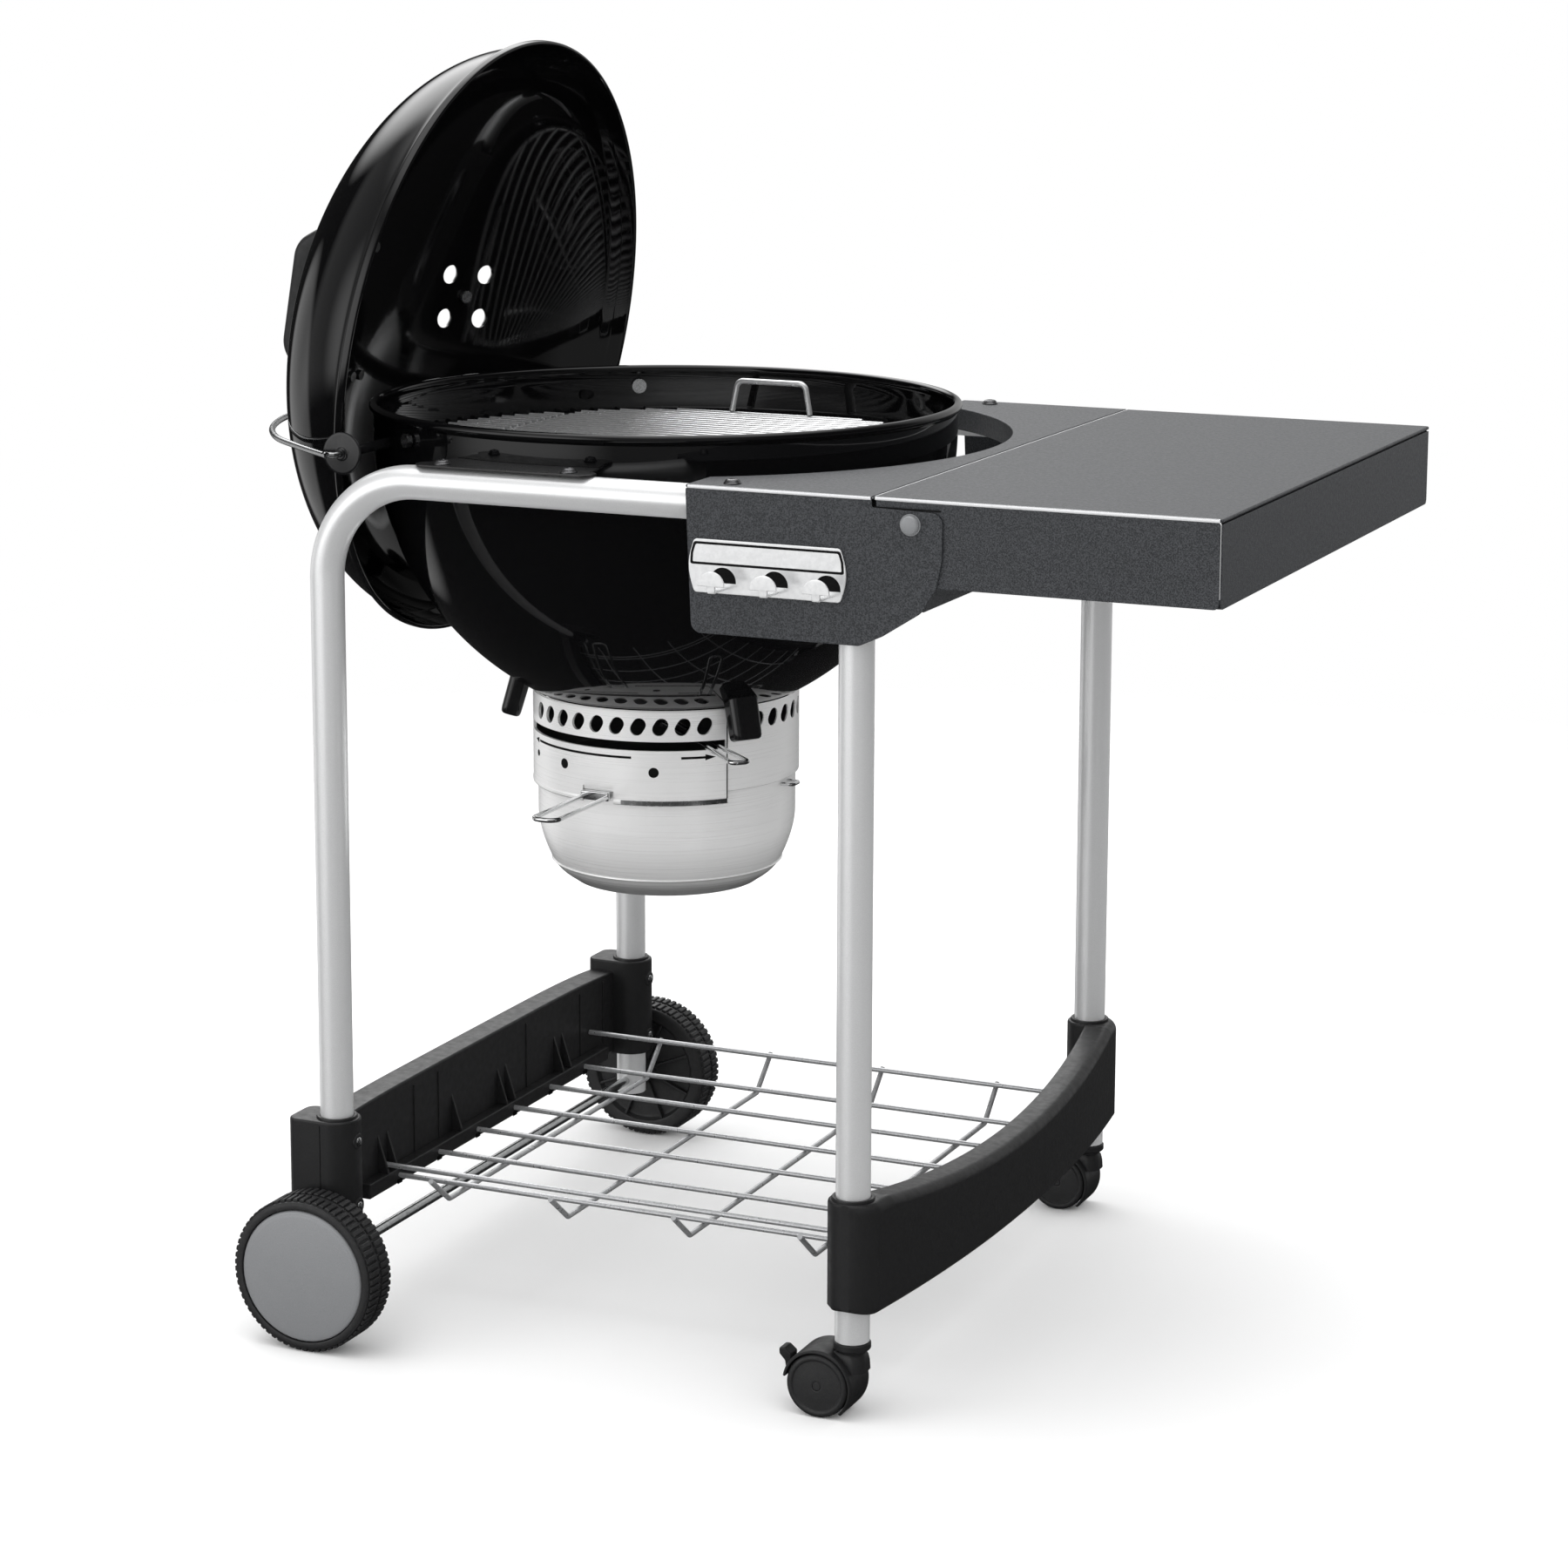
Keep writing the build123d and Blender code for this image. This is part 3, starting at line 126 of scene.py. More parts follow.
def brushed(name, lo, hi, r_lo, r_hi, aniso):
    """Sheet metal brushed round the kettle's axis; painted shade darkens it where it faces down, and its colour is
    darker on the faces toward the axis.
    """
    m = finish_mat(name, lo, hi, 7, r_lo, r_hi, metal=0.38, stretch=(1, 1, 900), detail=4.0,
                   bumps=((9, 0.002, 0.0001, (1, 1, 700)),), r_scale=5)
    nt = m.node_tree
    b = nt.nodes["Principled BSDF"]
    b.inputs["Anisotropic"].default_value = aniso
    tc = nt.nodes.new("ShaderNodeTexCoord")
    sub = nt.nodes.new("ShaderNodeVectorMath")
    sub.operation = "SUBTRACT"
    sub.inputs[1].default_value = (KX / 1000, 0.0, 0.0)
    crs = nt.nodes.new("ShaderNodeVectorMath")
    crs.operation = "CROSS_PRODUCT"
    crs.inputs[0].default_value = (0.0, 0.0, 1.0)
    nrm = nt.nodes.new("ShaderNodeVectorMath")
    nrm.operation = "NORMALIZE"
    nt.links.new(tc.outputs["Object"], sub.inputs[0])
    nt.links.new(sub.outputs["Vector"], crs.inputs[1])
    nt.links.new(crs.outputs["Vector"], nrm.inputs[0])
    nt.links.new(nrm.outputs["Vector"], b.inputs["Tangent"])
    # painted shade: darker where the sheet turns under, set by the surface's facing; also darker on the faces toward
    # the axis
    geo = nt.nodes.new("ShaderNodeNewGeometry")
    sep = nt.nodes.new("ShaderNodeSeparateXYZ")
    nt.links.new(geo.outputs["True Normal"], sep.inputs["Vector"])
    underside_painted_shade = nt.nodes.new("ShaderNodeMapRange")
    underside_painted_shade.interpolation_type = "SMOOTHSTEP"
    underside_painted_shade.inputs["From Min"].default_value = -0.88
    underside_painted_shade.inputs["From Max"].default_value = -0.10
    underside_painted_shade.inputs["To Min"].default_value = 0.24
    underside_painted_shade.inputs["To Max"].default_value = 1.0
    nt.links.new(sep.outputs["Z"], underside_painted_shade.inputs["Value"])
    flat = nt.nodes.new("ShaderNodeVectorMath")
    flat.operation = "MULTIPLY"
    flat.inputs[1].default_value = (1.0, 1.0, 0.0)
    dot = nt.nodes.new("ShaderNodeVectorMath")
    dot.operation = "DOT_PRODUCT"
    nt.links.new(sub.outputs["Vector"], flat.inputs[0])
    nt.links.new(flat.outputs["Vector"], dot.inputs[0])
    nt.links.new(geo.outputs["True Normal"], dot.inputs[1])
    inward_dark = nt.nodes.new("ShaderNodeMapRange")
    inward_dark.inputs["From Min"].default_value = -0.03
    inward_dark.inputs["From Max"].default_value = -0.005
    inward_dark.inputs["To Min"].default_value = 0.10
    inward_dark.inputs["To Max"].default_value = 1.0
    nt.links.new(dot.outputs["Value"], inward_dark.inputs["Value"])
    both = nt.nodes.new("ShaderNodeMath")
    both.operation = "MULTIPLY"
    nt.links.new(underside_painted_shade.outputs["Result"], both.inputs[0])
    nt.links.new(inward_dark.outputs["Result"], both.inputs[1])
    mul = nt.nodes.new("ShaderNodeVectorMath")
    mul.operation = "SCALE"
    nt.links.new(b.inputs["Base Color"].links[0].from_socket, mul.inputs[0])
    nt.links.new(both.outputs["Value"], mul.inputs["Scale"])
    nt.links.new(mul.outputs["Vector"], b.inputs["Base Color"])
    return m


M["stainless"] = brushed("brushed_stainless_painted_shade", (0.92, 0.92, 0.918), (0.945, 0.945, 0.942), 0.27, 0.30, 0.65)
M["sheet"] = finish_mat("plain_stainless", (0.56, 0.56, 0.56), (0.595, 0.595, 0.59), 320, 0.22, 0.32, metal=1.0,
                        bumps=((700, 0.03, 0.0002, (1, 1, 1)),), r_scale=120)
M["chrome"] = finish_mat("bright_chrome", (0.74, 0.745, 0.75), (0.82, 0.825, 0.83), 300, 0.10, 0.18, metal=1.0,
                         bumps=((420, 0.02, 0.0002, (1, 1, 1)),), r_scale=160)
M["plate"] = finish_mat("polished_plate", (0.78, 0.785, 0.79), (0.86, 0.865, 0.87), 260, 0.18, 0.26, metal=0.60,
                        bumps=((500, 0.02, 0.0002, (1, 1, 1)),), r_scale=120)
M["grate"] = finish_mat("plated_grate_wire", (0.66, 0.665, 0.67), (0.78, 0.785, 0.79), 240, 0.18, 0.28, metal=0.7,
                        bumps=((800, 0.04, 0.0002, (1, 1, 1)),), r_scale=90)
M["shelf"] = finish_mat("satin_shelf_wire", (0.46, 0.465, 0.475), (0.56, 0.565, 0.575), 420, 0.26, 0.38, metal=0.7,
                        bumps=((900, 0.05, 0.0002, (1, 1, 1)),), r_scale=150)
M["zinc"] = finish_mat("zinc_axle", (0.60, 0.615, 0.62), (0.72, 0.73, 0.73), 240, 0.16, 0.28, metal=1.0,
                       bumps=((700, 0.05, 0.0002, (1, 1, 1)),), r_scale=90)
M["steel"] = finish_mat("machined_steel", (0.42, 0.425, 0.43), (0.54, 0.545, 0.55), 700, 0.20, 0.32, metal=1.0,
                        bumps=((1500, 0.04, 0.0001, (1, 1, 1)),), r_scale=300)
M["plastic"] = finish_mat("moulded_black_plastic", (0.0085, 0.0085, 0.009), (0.0145, 0.0145, 0.0152), 1500, 0.36, 0.50, spec=0.38,
                          bumps=((1900, 0.16, 0.0002, (1, 1, 1)), (90, 0.05, 0.0006, (1, 1, 1))), r_scale=130)
# near-black: mould parting lines, and painted shade for the ledge's notches
M["seam"] = finish_mat("moulding_seam_and_painted_notch_shade", (0.001, 0.001, 0.001), (0.003, 0.003, 0.003), 900, 0.7, 0.8, spec=0.1)
M["tyre"] = finish_mat("tyre_black", (0.010, 0.010, 0.0105), (0.018, 0.018, 0.019), 900, 0.46, 0.62,
                       bumps=((1400, 0.20, 0.0002, (1, 1, 1)),), r_scale=110)
M["hub"] = finish_mat("satin_hub_grey", (0.205, 0.21, 0.218), (0.245, 0.25, 0.258), 1800, 0.34, 0.46, metal=0.2,
                      bumps=((2300, 0.10, 0.0001, (1, 1, 1)),), r_scale=100)
M["coat"] = finish_mat("satin_black_coat", (0.006, 0.006, 0.0065), (0.012, 0.012, 0.0125), 1100, 0.26, 0.38,
                       bumps=((900, 0.08, 0.0002, (1, 1, 1)),), r_scale=140)
M["wire"] = finish_mat("satin_holder_wire", (0.42, 0.425, 0.43), (0.54, 0.545, 0.55), 300, 0.20, 0.30, metal=1.0,
                       bumps=((420, 0.02, 0.0002, (1, 1, 1)),), r_scale=160)
M["gloss"] = finish_mat("glossy_black_coat", (0.004, 0.004, 0.0045), (0.009, 0.009, 0.0095), 1100, 0.12, 0.20,
                        bumps=((600, 0.05, 0.0002, (1, 1, 1)),), r_scale=140)
M["bolt"] = finish_mat("dark_bolt", (0.09, 0.09, 0.094), (0.14, 0.14, 0.144), 700, 0.22, 0.32, metal=0.9,
                       bumps=((1500, 0.04, 0.0001, (1, 1, 1)),), r_scale=300)
# near-black: printed marks, and painted shade in gaps and behind openings
M["groove"] = finish_mat("dark_print_and_painted_gap_shade", (0.0015, 0.0015, 0.0016), (0.004, 0.004, 0.0042), 900, 0.6, 0.75, spec=0.2)


# -------------------------------------------------------------- mesh building
class Geo:
    """Faces gathered for one piece; mi is the index of their material."""

    def __init__(self):
        self.v, self.f, self.m = [], [], []

    def add(self, verts, faces, mi=0):
        b = len(self.v)
        self.v.extend((p[0], p[1], p[2]) for p in verts)
        self.f.extend(tuple(i + b for i in f) for f in faces)
        self.m.extend([mi] * len(faces))


def lathe(g, prof, origin, axis, ref, n=96, mi=0, a0=0.0, a1=360.0, loop=False):
    """Turns (radius, height) pairs about an axis."""
    o, z = Vector(origin), Vector(axis).normalized()
    x = (Vector(ref) - z * Vector(ref).dot(z)).normalized()
    y = z.cross(x)
    full = abs(a1 - a0) > 359.99
    cols = n if full else n + 1
    verts, rows = [], []
    for r, h in prof:
        if r < 1e-6:
            rows.append([len(verts)] * cols)
            verts.append(o + z * h)
        else:
            row = []
            for k in range(cols):
                a = radians(a0 + (a1 - a0) * k / n)
                row.append(len(verts))
                verts.append(o + z * h + (x * cos(a) + y * sin(a)) * r)
            rows.append(row)
    faces = []
    for i in range(len(rows) if loop else len(rows) - 1):
        p, q = rows[i], rows[(i + 1) % len(rows)]
        for k in range(n):
            k2 = (k + 1) % cols if full else k + 1
            quad = []
            for t in (p[k], p[k2], q[k2], q[k]):
                if t not in quad:
                    quad.append(t)
            if len(quad) > 2:
                faces.append(tuple(quad))
    if not full and loop:
        faces.append(tuple(r[0] for r in rows))
        faces.append(tuple(r[-1] for r in rows)[::-1])
    g.add(verts, faces, mi)


def bend(points, rad, steps=10):
    """Path through points with round corners."""
    pts = [Vector(p) for p in points]
    out = [pts[0]]
    for i in range(1, len(pts) - 1):
        p = pts[i]
        a, b = (pts[i - 1] - p).normalized(), (pts[i + 1] - p).normalized()
        r = rad[i - 1] if isinstance(rad, (list, tuple)) else rad
        half = a.angle(b) / 2
        if abs(half - pi / 2) < 1e-4:
            out.append(p)
            continue
        c = p + (a + b).normalized() * (r / sin(half))
        s, e = p + a * (r / tan(half)), p + b * (r / tan(half))
        u, w = s - c, e - c
        ang, n = u.angle(w), u.cross(w).normalized()
        for k in range(steps + 1):
            out.append(c + Matrix.Rotation(ang * k / steps, 3, n) @ u)
    out.append(pts[-1])
    return out


def pipe(g, pts, r, n=24, mi=0, cham=0.4):
    """Round rod along a path, its ends chamfered."""
    pts = [Vector(p) for p in pts]
    tang = []
    for i in range(len(pts)):
        t = Vector((0, 0, 0))
        if i:
            t += (pts[i] - pts[i - 1]).normalized()
        if i < len(pts) - 1:
            t += (pts[i + 1] - pts[i]).normalized()
        tang.append(t.normalized())
    up = tang[0].orthogonal().normalized()
    rings = []
    for i, (p, t) in enumerate(zip(pts, tang)):
        if i:
            up = (tang[i - 1].rotation_difference(t) @ up).normalized()
            up = (up - t * up.dot(t)).normalized()
        side = t.cross(up)
        if i == 0:
            rings.append((p, up, side, r - cham))
            rings.append((p + t * cham, up, side, r))
        elif i == len(pts) - 1:
            rings.append((p - t * cham, up, side, r))
            rings.append((p, up, side, r - cham))
        else:
            rings.append((p, up, side, r))
    verts, faces = [], []
    for p, u, s, rr in rings:
        for k in range(n):
            a = 2 * pi * k / n
            verts.append(p + u * (cos(a) * rr) + s * (sin(a) * rr))
    for i in range(len(rings) - 1):
        for k in range(n):
            k2 = (k + 1) % n
            faces.append((i * n + k, i * n + k2, (i + 1) * n + k2, (i + 1) * n + k))
    faces.append(tuple(range(n))[::-1])
    faces.append(tuple(range((len(rings) - 1) * n, len(rings) * n)))
    g.add(verts, faces, mi)


def rbox(g, mid, size, bev, seg=3, mi=0, rot=None):
    """Box with rounded edges."""
    bm = bmesh.new()
    bmesh.ops.create_cube(bm, size=1.0)
    for v in bm.verts:
        v.co = Vector((v.co.x * size[0], v.co.y * size[1], v.co.z * size[2]))
    if bev > 0:
        bmesh.ops.bevel(bm, geom=bm.edges[:], offset=bev, segments=seg, profile=0.5, affect="EDGES")
    m = Matrix.Translation(Vector(mid)) @ (rot.to_4x4() if rot else Matrix.Identity(4))
    bm.verts.index_update()
    g.add([m @ v.co for v in bm.verts], [tuple(v.index for v in f.verts) for f in bm.faces], mi)
    bm.free()


def rpoly(pts, rad, n=6):
    """Closed outline with round corners."""
    out = []
    for i in range(len(pts)):
        p = Vector(pts[i])
        a = (Vector(pts[i - 1]) - p).normalized()
        b = (Vector(pts[(i + 1) % len(pts)]) - p).normalized()
        r = rad[i] if isinstance(rad, (list, tuple)) else rad
        d = max(-1.0, min(1.0, a.dot(b)))
        half = acos(d) / 2
        if r <= 0 or abs(half - pi / 2) < 1e-3:
            out.append((p.x, p.y))
            continue
        c = p + (a + b).normalized() * (r / sin(half))
        s, e = p + a * (r / tan(half)), p + b * (r / tan(half))
        t0 = atan2((s - c).y, (s - c).x)
        t1 = atan2((e - c).y, (e - c).x)
        dt = (t1 - t0 + pi) % (2 * pi) - pi
        for k in range(n + 1):
            t = t0 + dt * k / n
            out.append((c.x + r * cos(t), c.y + r * sin(t)))
    return out


def ring2d(cx, cy, r, n=48):
    return [(cx + r * cos(2 * pi * k / n), cy + r * sin(2 * pi * k / n)) for k in range(n)]


def slab(g, loops, thick, bev, origin, ux, uy, mi=0, res=2):
    """Plate with an outline, holes and rounded edges. Its middle plane holds origin."""
    cu = bpy.data.curves.new("outline", "CURVE")
    cu.dimensions = "2D"
    cu.fill_mode = "BOTH"
    cu.extrude = max(thick / 2 - bev, 1e-3)
    cu.bevel_depth = bev
    cu.bevel_resolution = res
    cu.offset = -bev
    for lp in loops:
        sp = cu.splines.new("POLY")
        sp.points.add(len(lp) - 1)
        for q, (x, y) in zip(sp.points, lp):
            q.co = (x, y, 0, 1)
        sp.use_cyclic_u = True
    ob = bpy.data.objects.new("outline", cu)
    me = bpy.data.meshes.new_from_object(ob)
    ux, uy = Vector(ux).normalized(), Vector(uy).normalized()
    uz = ux.cross(uy)
    o = Vector(origin)
    g.add([o + ux * v.co.x + uy * v.co.y + uz * v.co.z for v in me.vertices],
          [tuple(p.vertices) for p in me.polygons], mi)
    bpy.data.objects.remove(ob)
    bpy.data.curves.remove(cu)
    bpy.data.meshes.remove(me)


def loft(g, rings, mi=0, caps=True):
    """Skin over closed rings with equal numbers of points."""
    n = len(rings[0])
    verts = [p for r in rings for p in r]
    faces = []
    for i in range(len(rings) - 1):
        for k in range(n):
            k2 = (k + 1) % n
            faces.append((i * n + k, i * n + k2, (i + 1) * n + k2, (i + 1) * n + k))
    if caps:
        faces.append(tuple(range(n))[::-1])
        faces.append(tuple(range((len(rings) - 1) * n, len(rings) * n)))
    g.add(verts, faces, mi)


def to_mesh(name, g, mats, angle):
    me = bpy.data.meshes.new(name)
    me.from_pydata([((x + KX) / 1000, y / 1000, z / 1000) for x, y, z in g.v], [], g.f)
    for m in mats:
        me.materials.append(m)
    me.polygons.foreach_set("material_index", g.m)
    bm = bmesh.new()
    bm.from_mesh(me)
    bmesh.ops.remove_doubles(bm, verts=bm.verts, dist=2e-6)
    bmesh.ops.dissolve_degenerate(bm, edges=bm.edges, dist=1e-7)
    bmesh.ops.recalc_face_normals(bm, faces=bm.faces)
    bm.to_mesh(me)
    bm.free()
    me.polygons.foreach_set("use_smooth", [True] * len(me.polygons))
    me.set_sharp_from_angle(angle=radians(angle))
    me.update()
    return me


def make(name, g, mats, body, nodes=(), angle=32, cuts=()):
    """One piece of the visual model, on its body, in place of its nodes."""
    mats = [M[m] for m in ([mats] if isinstance(mats, str) else mats)]
    me = to_mesh(name, g, mats, angle)
    ob = bpy.data.objects.new(name, me)
    scene.collection.objects.link(ob)
    for c in cuts:
        tool = bpy.data.objects.new("tool", to_mesh("tool", c, [mats[0]], angle))
        scene.collection.objects.link(tool)
        mod = ob.modifiers.new("cut", "BOOLEAN")
        mod.operation = "DIFFERENCE"
        mod.solver = "EXACT"
        mod.object = tool
        dg = bpy.context.evaluated_depsgraph_get()
        dg.update()
        cut = bpy.data.meshes.new_from_object(ob.evaluated_get(dg))
        ob.modifiers.clear()
        old = ob.data
        ob.data = cut
        bpy.data.meshes.remove(old)
        tm = tool.data
        bpy.data.objects.remove(tool)
        bpy.data.meshes.remove(tm)
        cut.polygons.foreach_set("use_smooth", [True] * len(cut.polygons))
        cut.set_sharp_from_angle(angle=radians(angle))
        cut.name = name
    wn = ob.modifiers.new("even_faces", "WEIGHTED_NORMAL")
    wn.mode = "FACE_AREA"
    wn.weight = 50
    wn.keep_sharp = True
    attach(ob, body)
    if nodes:
        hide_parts(*nodes)
    return ob


X, Y, Z = (1, 0, 0), (0, 1, 0), (0, 0, 1)
SIDES = (("front", -1), ("rear", 1))


def arc_pts(c, r, t0, t1, n):
    """(x, y) pairs along an arc, angles in degrees."""
    return [(c[0] + r * cos(radians(t0 + (t1 - t0) * k / n)), c[1] + r * sin(radians(t0 + (t1 - t0) * k / n)))
            for k in range(n + 1)]


# ------------------------------------------------------------------ the kettle
def rod_geo(p, q, r, n=40):
    g = Geo()
    pipe(g, [p, q], r, n=n, cham=0.01)
    return g


prof = [(285 * cos(radians(t)), 850 + 291 * sin(radians(t))) for t in [-90 + 90 * k / 72 for k in range(73)]]
prof[0] = (0.0, 559.0)
prof += [(285.0, 858.0), (285.0, 866.2)]
prof += arc_pts((284.5, 872), 4.5, -62, 232, 22)
prof += [(283.0, 865.5), (283.0, 858.0)]
inner = [(283 * cos(radians(t)), 850 + 289 * sin(radians(t))) for t in [-90 * k / 72 for k in range(73)]]
inner[-1] = (0.0, 561.0)
g = Geo()
lathe(g, prof + inner, (0, 0, 0), Z, X, n=224)
cuts = []
for a in (30, 150, 270):
    c = Geo()
    lp = arc_pts((0, 0), 58, a - 24, a + 24, 12) + arc_pts((0, 0), 88, a + 24, a - 24, 16)
    slab(c, [rpoly(lp, 0)], 60, 0.0, (0, 0, 565), X, Y)
    cuts.append(c)
make("bowl_shell", g, "enamel", "cart", ["bowl"], cuts=cuts)

# bracket strips that hang the bowl on the top tubes, ends tapered and round
for name, s in SIDES:
    g = Geo()
    y0 = 262.0
    edge = arc_pts((0, 0), 285.6, 90 - 20.6, 90 + 16.6, 24)
    lp = [(x, y) for x, y in edge if y > 262] + []
    outl = [(-100, 312), (-90, 304), (-84, sqrt(285.6 ** 2 - 84 ** 2))] + \
           [(x, sqrt(285.6 ** 2 - x ** 2)) for x in range(-78, 66, 6)] + \
           [(66, sqrt(285.6 ** 2 - 66 ** 2)), (72, 304), (81, 312), (81, 322), (74, 331), (-93, 331), (-100, 322)]
    rad = [7, 3, 0] + [0] * len(range(-78, 66, 6)) + [0, 3, 7, 7, 6, 6, 7]
    lp = rpoly(outl, rad, 5)
    slab(g, [[(x, s * y) for x, y in lp]], 2.4, 0.7, (0, 0, 845.2), X, Y)
    make(f"bowl_bracket_strip_{name}", g, "coat", "cart", [f"bowl_bracket_{name}"])


def dome_bolt(g, x, y, z, r=8.0, h=4.4, mi=0):
    """Round-headed bolt standing on z, with a thin flange and a round socket."""
    pr = [(0, z + h - 2.2), (2.2, z + h - 2.2), (2.6, z + h - 0.15), (3.0, z + h - 0.12)]
    for k in range(1, 9):
        t = k / 8
        pr.append((3.0 + (r - 0.9 - 3.0) * t, z + 0.9 + (h - 1.02) * sqrt(max(0.0, 1 - (t * 0.985) ** 2.2))))
    pr += [(r - 0.15, z + 0.9), (r, z + 0.5), (r, z), (0, z)]
    lathe(g, pr, (x, y, 0), Z, X, n=36, mi=mi)


g = Geo()
for s in (-1, 1):
    for x in (-74, 55):
        dome_bolt(g, x, s * 318, 846.5)
make("bracket_dome_bolts", g, "bolt", "cart", ["bracket_bolts"])
g = Geo()
for s in (-1, 1):
    dome_bolt(g, 217, s * 318, 846.4)
make("panel_dome_bolts", g, "bolt", "cart", ["panel_bolts"])

# --------------------------------------------------------------------- the lid
TAU = radians(9.8)
LC = Vector((-184.7, 0, 925.4))
LUP = Vector((sin(TAU), 0, cos(TAU)))
LOUT = Vector((-cos(TAU), 0, sin(TAU)))


def lid_pt(u, v, w):
    return LC + LUP * u + Vector((0, v, 0)) + LOUT * w


t0 = degrees(asin(14.7 / 166))
prof = [(290.3 * cos(radians(t)), 166 * sin(radians(t))) for t in [90 - (90 - t0) * k / 80 for k in range(81)]]
prof[0] = (0.0, 166.0)
prof += [(289.9, 13.0), (290.7, 11.4), (292.0, 10.2), (293.8, 9.4), (295.6, 8.9), (296.7, 8.1), (297.3, 6.9), (297.4, 5.5),
         (297.4, 2.0), (297.1, 0.9), (296.3, 0.25), (295.3, 0.0), (294.3, 0.15), (293.6, 0.8), (293.2, 2.0)]
i0 = degrees(asin(24 / 164))
prof += [(292.2, 6.0), (290.0, 12.5), (287.4, 20.0)]
prof += [(288.3 * cos(radians(t)), 164 * sin(radians(t))) for t in [i0 + (90 - i0) * k / 80 for k in range(81)]]
prof[-1] = (0.0, 164.0)
g = Geo()
lathe(g, prof, LC, LOUT, LUP, n=256)
DV = 171.0
DW = 166 * sqrt(1 - (DV / 290.3) ** 2)
dn = Vector((0, DV / 290.3 ** 2, DW / 166 ** 2)).normalized()
DN = Vector((0, dn.y, 0)) + LOUT * dn.z
DC = lid_pt(0, DV, DW)
DX = (LUP - DN * LUP.dot(DN)).normalized()
DY = DN.cross(DX)
cuts = []
for k in range(4):
    a = radians(45 + 90 * k)
    p = DC + (DX * cos(a) + DY * sin(a)) * 33
    cuts.append(rod_geo(p - DN * 25, p + DN * 25, 10))
make("lid_dome", g, "enamel", "lid", ["lid"], cuts=cuts)

# lid handle: a round-edged grip on two feet, swept along its bow
g = Geo()
m_ = -6.0
path = bend([(m_ - 67, 0, 161), (m_ - 65.5, 0, 180), (m_ - 64, 0, 206), (m_ - 50, 0, 224), (m_ + 50, 0, 224), (m_ + 64, 0, 206),
             (m_ + 65.5, 0, 180), (m_ + 67, 0, 161)], [16, 16, 16, 16, 16, 16], 8)
rings = []
for i, p in enumerate(path):
    a = path[max(i - 1, 0)]
    b = path[min(i + 1, len(path) - 1)]
    t = (b - a).normalized()
    nrm = Vector((-t.z, 0, t.x))
    f = abs(p.x - m_) / 67
    low = min(1.0, max(0.0, (200 - p.z) / 42))
    wv = 15.0 + 1.6 * low
    th = 13.0 + 1.7 * low
    sec = []
    for k in range(28):
        an = 2 * pi * k / 28
        cx, cy = cos(an), sin(an)
        e = 0.55
        sx = (abs(cx) ** e) * (1 if cx >= 0 else -1) * th
        sy = (abs(cy) ** e) * (1 if cy >= 0 else -1) * wv
        q = p + nrm * sx
        if i in (0, len(path) - 1):
            q.z = 166 * sqrt(1 - (q.x ** 2 + sy ** 2) / 290.3 ** 2) - 0.9
        sec.append(lid_pt(q.x, sy, q.z))
    rings.append(sec)
loft(g, rings)
make("lid_handle_grip", g, "plastic", "lid", ["lid_handle"], angle=40)

# ------------------------------------------------------------------ cart tubes
for name, s in SIDES:
    y = s * 318
    g = Geo()
    pipe(g, bend([(-197, y, 60), (-197, y, 828), (229.6, y, 828)], 95, 28), 15.9, n=56, cham=0.6)
    make(f"left_frame_tube_{name}", g, "tube", "cart", [f"{name}_left_tube"])
    g = Geo()
    pipe(g, bend([(337, y, 71), (337, y, 828), (230.4, y, 828)], 70, 24), 15.9, n=56, cham=0.6)
    make(f"right_frame_leg_{name}", g, "tube", "cart", [f"{name}_right_leg"])


# ------------------------------------------------------------- left end panel
def sec_xz(x0, x1, zb, zt, r_out, r_in, rb=2.0, out_first=True):
    """Ring of a beam's section: outer face at x0, inner at x1, both top edges rounded."""
    pts = []
    sgn = 1 if x1 > x0 else -1
    pts += [(x0, zb + rb), (x0, zb + (zt - zb) * 0.33), (x0, zb + (zt - zb) * 0.66), (x0, zt - r_out)]
    for k in range(1, 7):
        t = pi / 2 * k / 6
        pts.append((x0 + sgn * r_out * (1 - cos(t)), zt - r_out + r_out * sin(t)))
    pts.append(((x0 + x1) / 2, zt + 0.4))
    for k in range(0, 6):
        t = pi / 2 * k / 5
        pts.append((x1 - sgn * r_in * (1 - sin(t)), zt - r_in + r_in * cos(t)))
    pts += [(x1, zb + (zt - zb) * 0.66), (x1, zb + (zt - zb) * 0.33), (x1, zb + rb), (x1 - sgn * rb, zb), (x0 + sgn * rb, zb)]
    return pts


g = Geo()
rings = []
for k in range(61):
    y = -299 + 598 * k / 60
    f = abs(y) / 299
    zt = 204 - 5.0 * f ** 5
    zb = 118 - 10 * f ** 2
    rings.append([(x, y, z) for x, z in sec_xz(-240, -208, zb, zt, 6.0, 2.2)])
loft(g, rings)
for s in (-1, 1):
    yc = s * 318
    # socket round the leg: flat outside, half round inside
    lp = arc_pts((-197, yc), 23, -90, 90, 28) + arc_pts((-229, yc + 12), 11, 90, 180, 6) + arc_pts((-229, yc - 12), 11, 180, 270, 6)
    slab(g, [lp, ring2d(-197, yc, 16.05, 48)], 105, 2.2, (0, 0, 159.5), X, Y, res=3)
    # mould parting line and the lip round the tube
    rbox(g, (-203, yc + s * 23.05, 159), (0.7, 0.4, 98), 0.12, 1, mi=1)
    lathe(g, [(16.1, 211.0), (19.2, 211.0), (19.6, 211.5), (19.6, 213.4), (19.0, 214.2), (16.6, 214.2), (16.1, 213.6)],
          (-197, yc, 0), Z, X, n=48, loop=True)
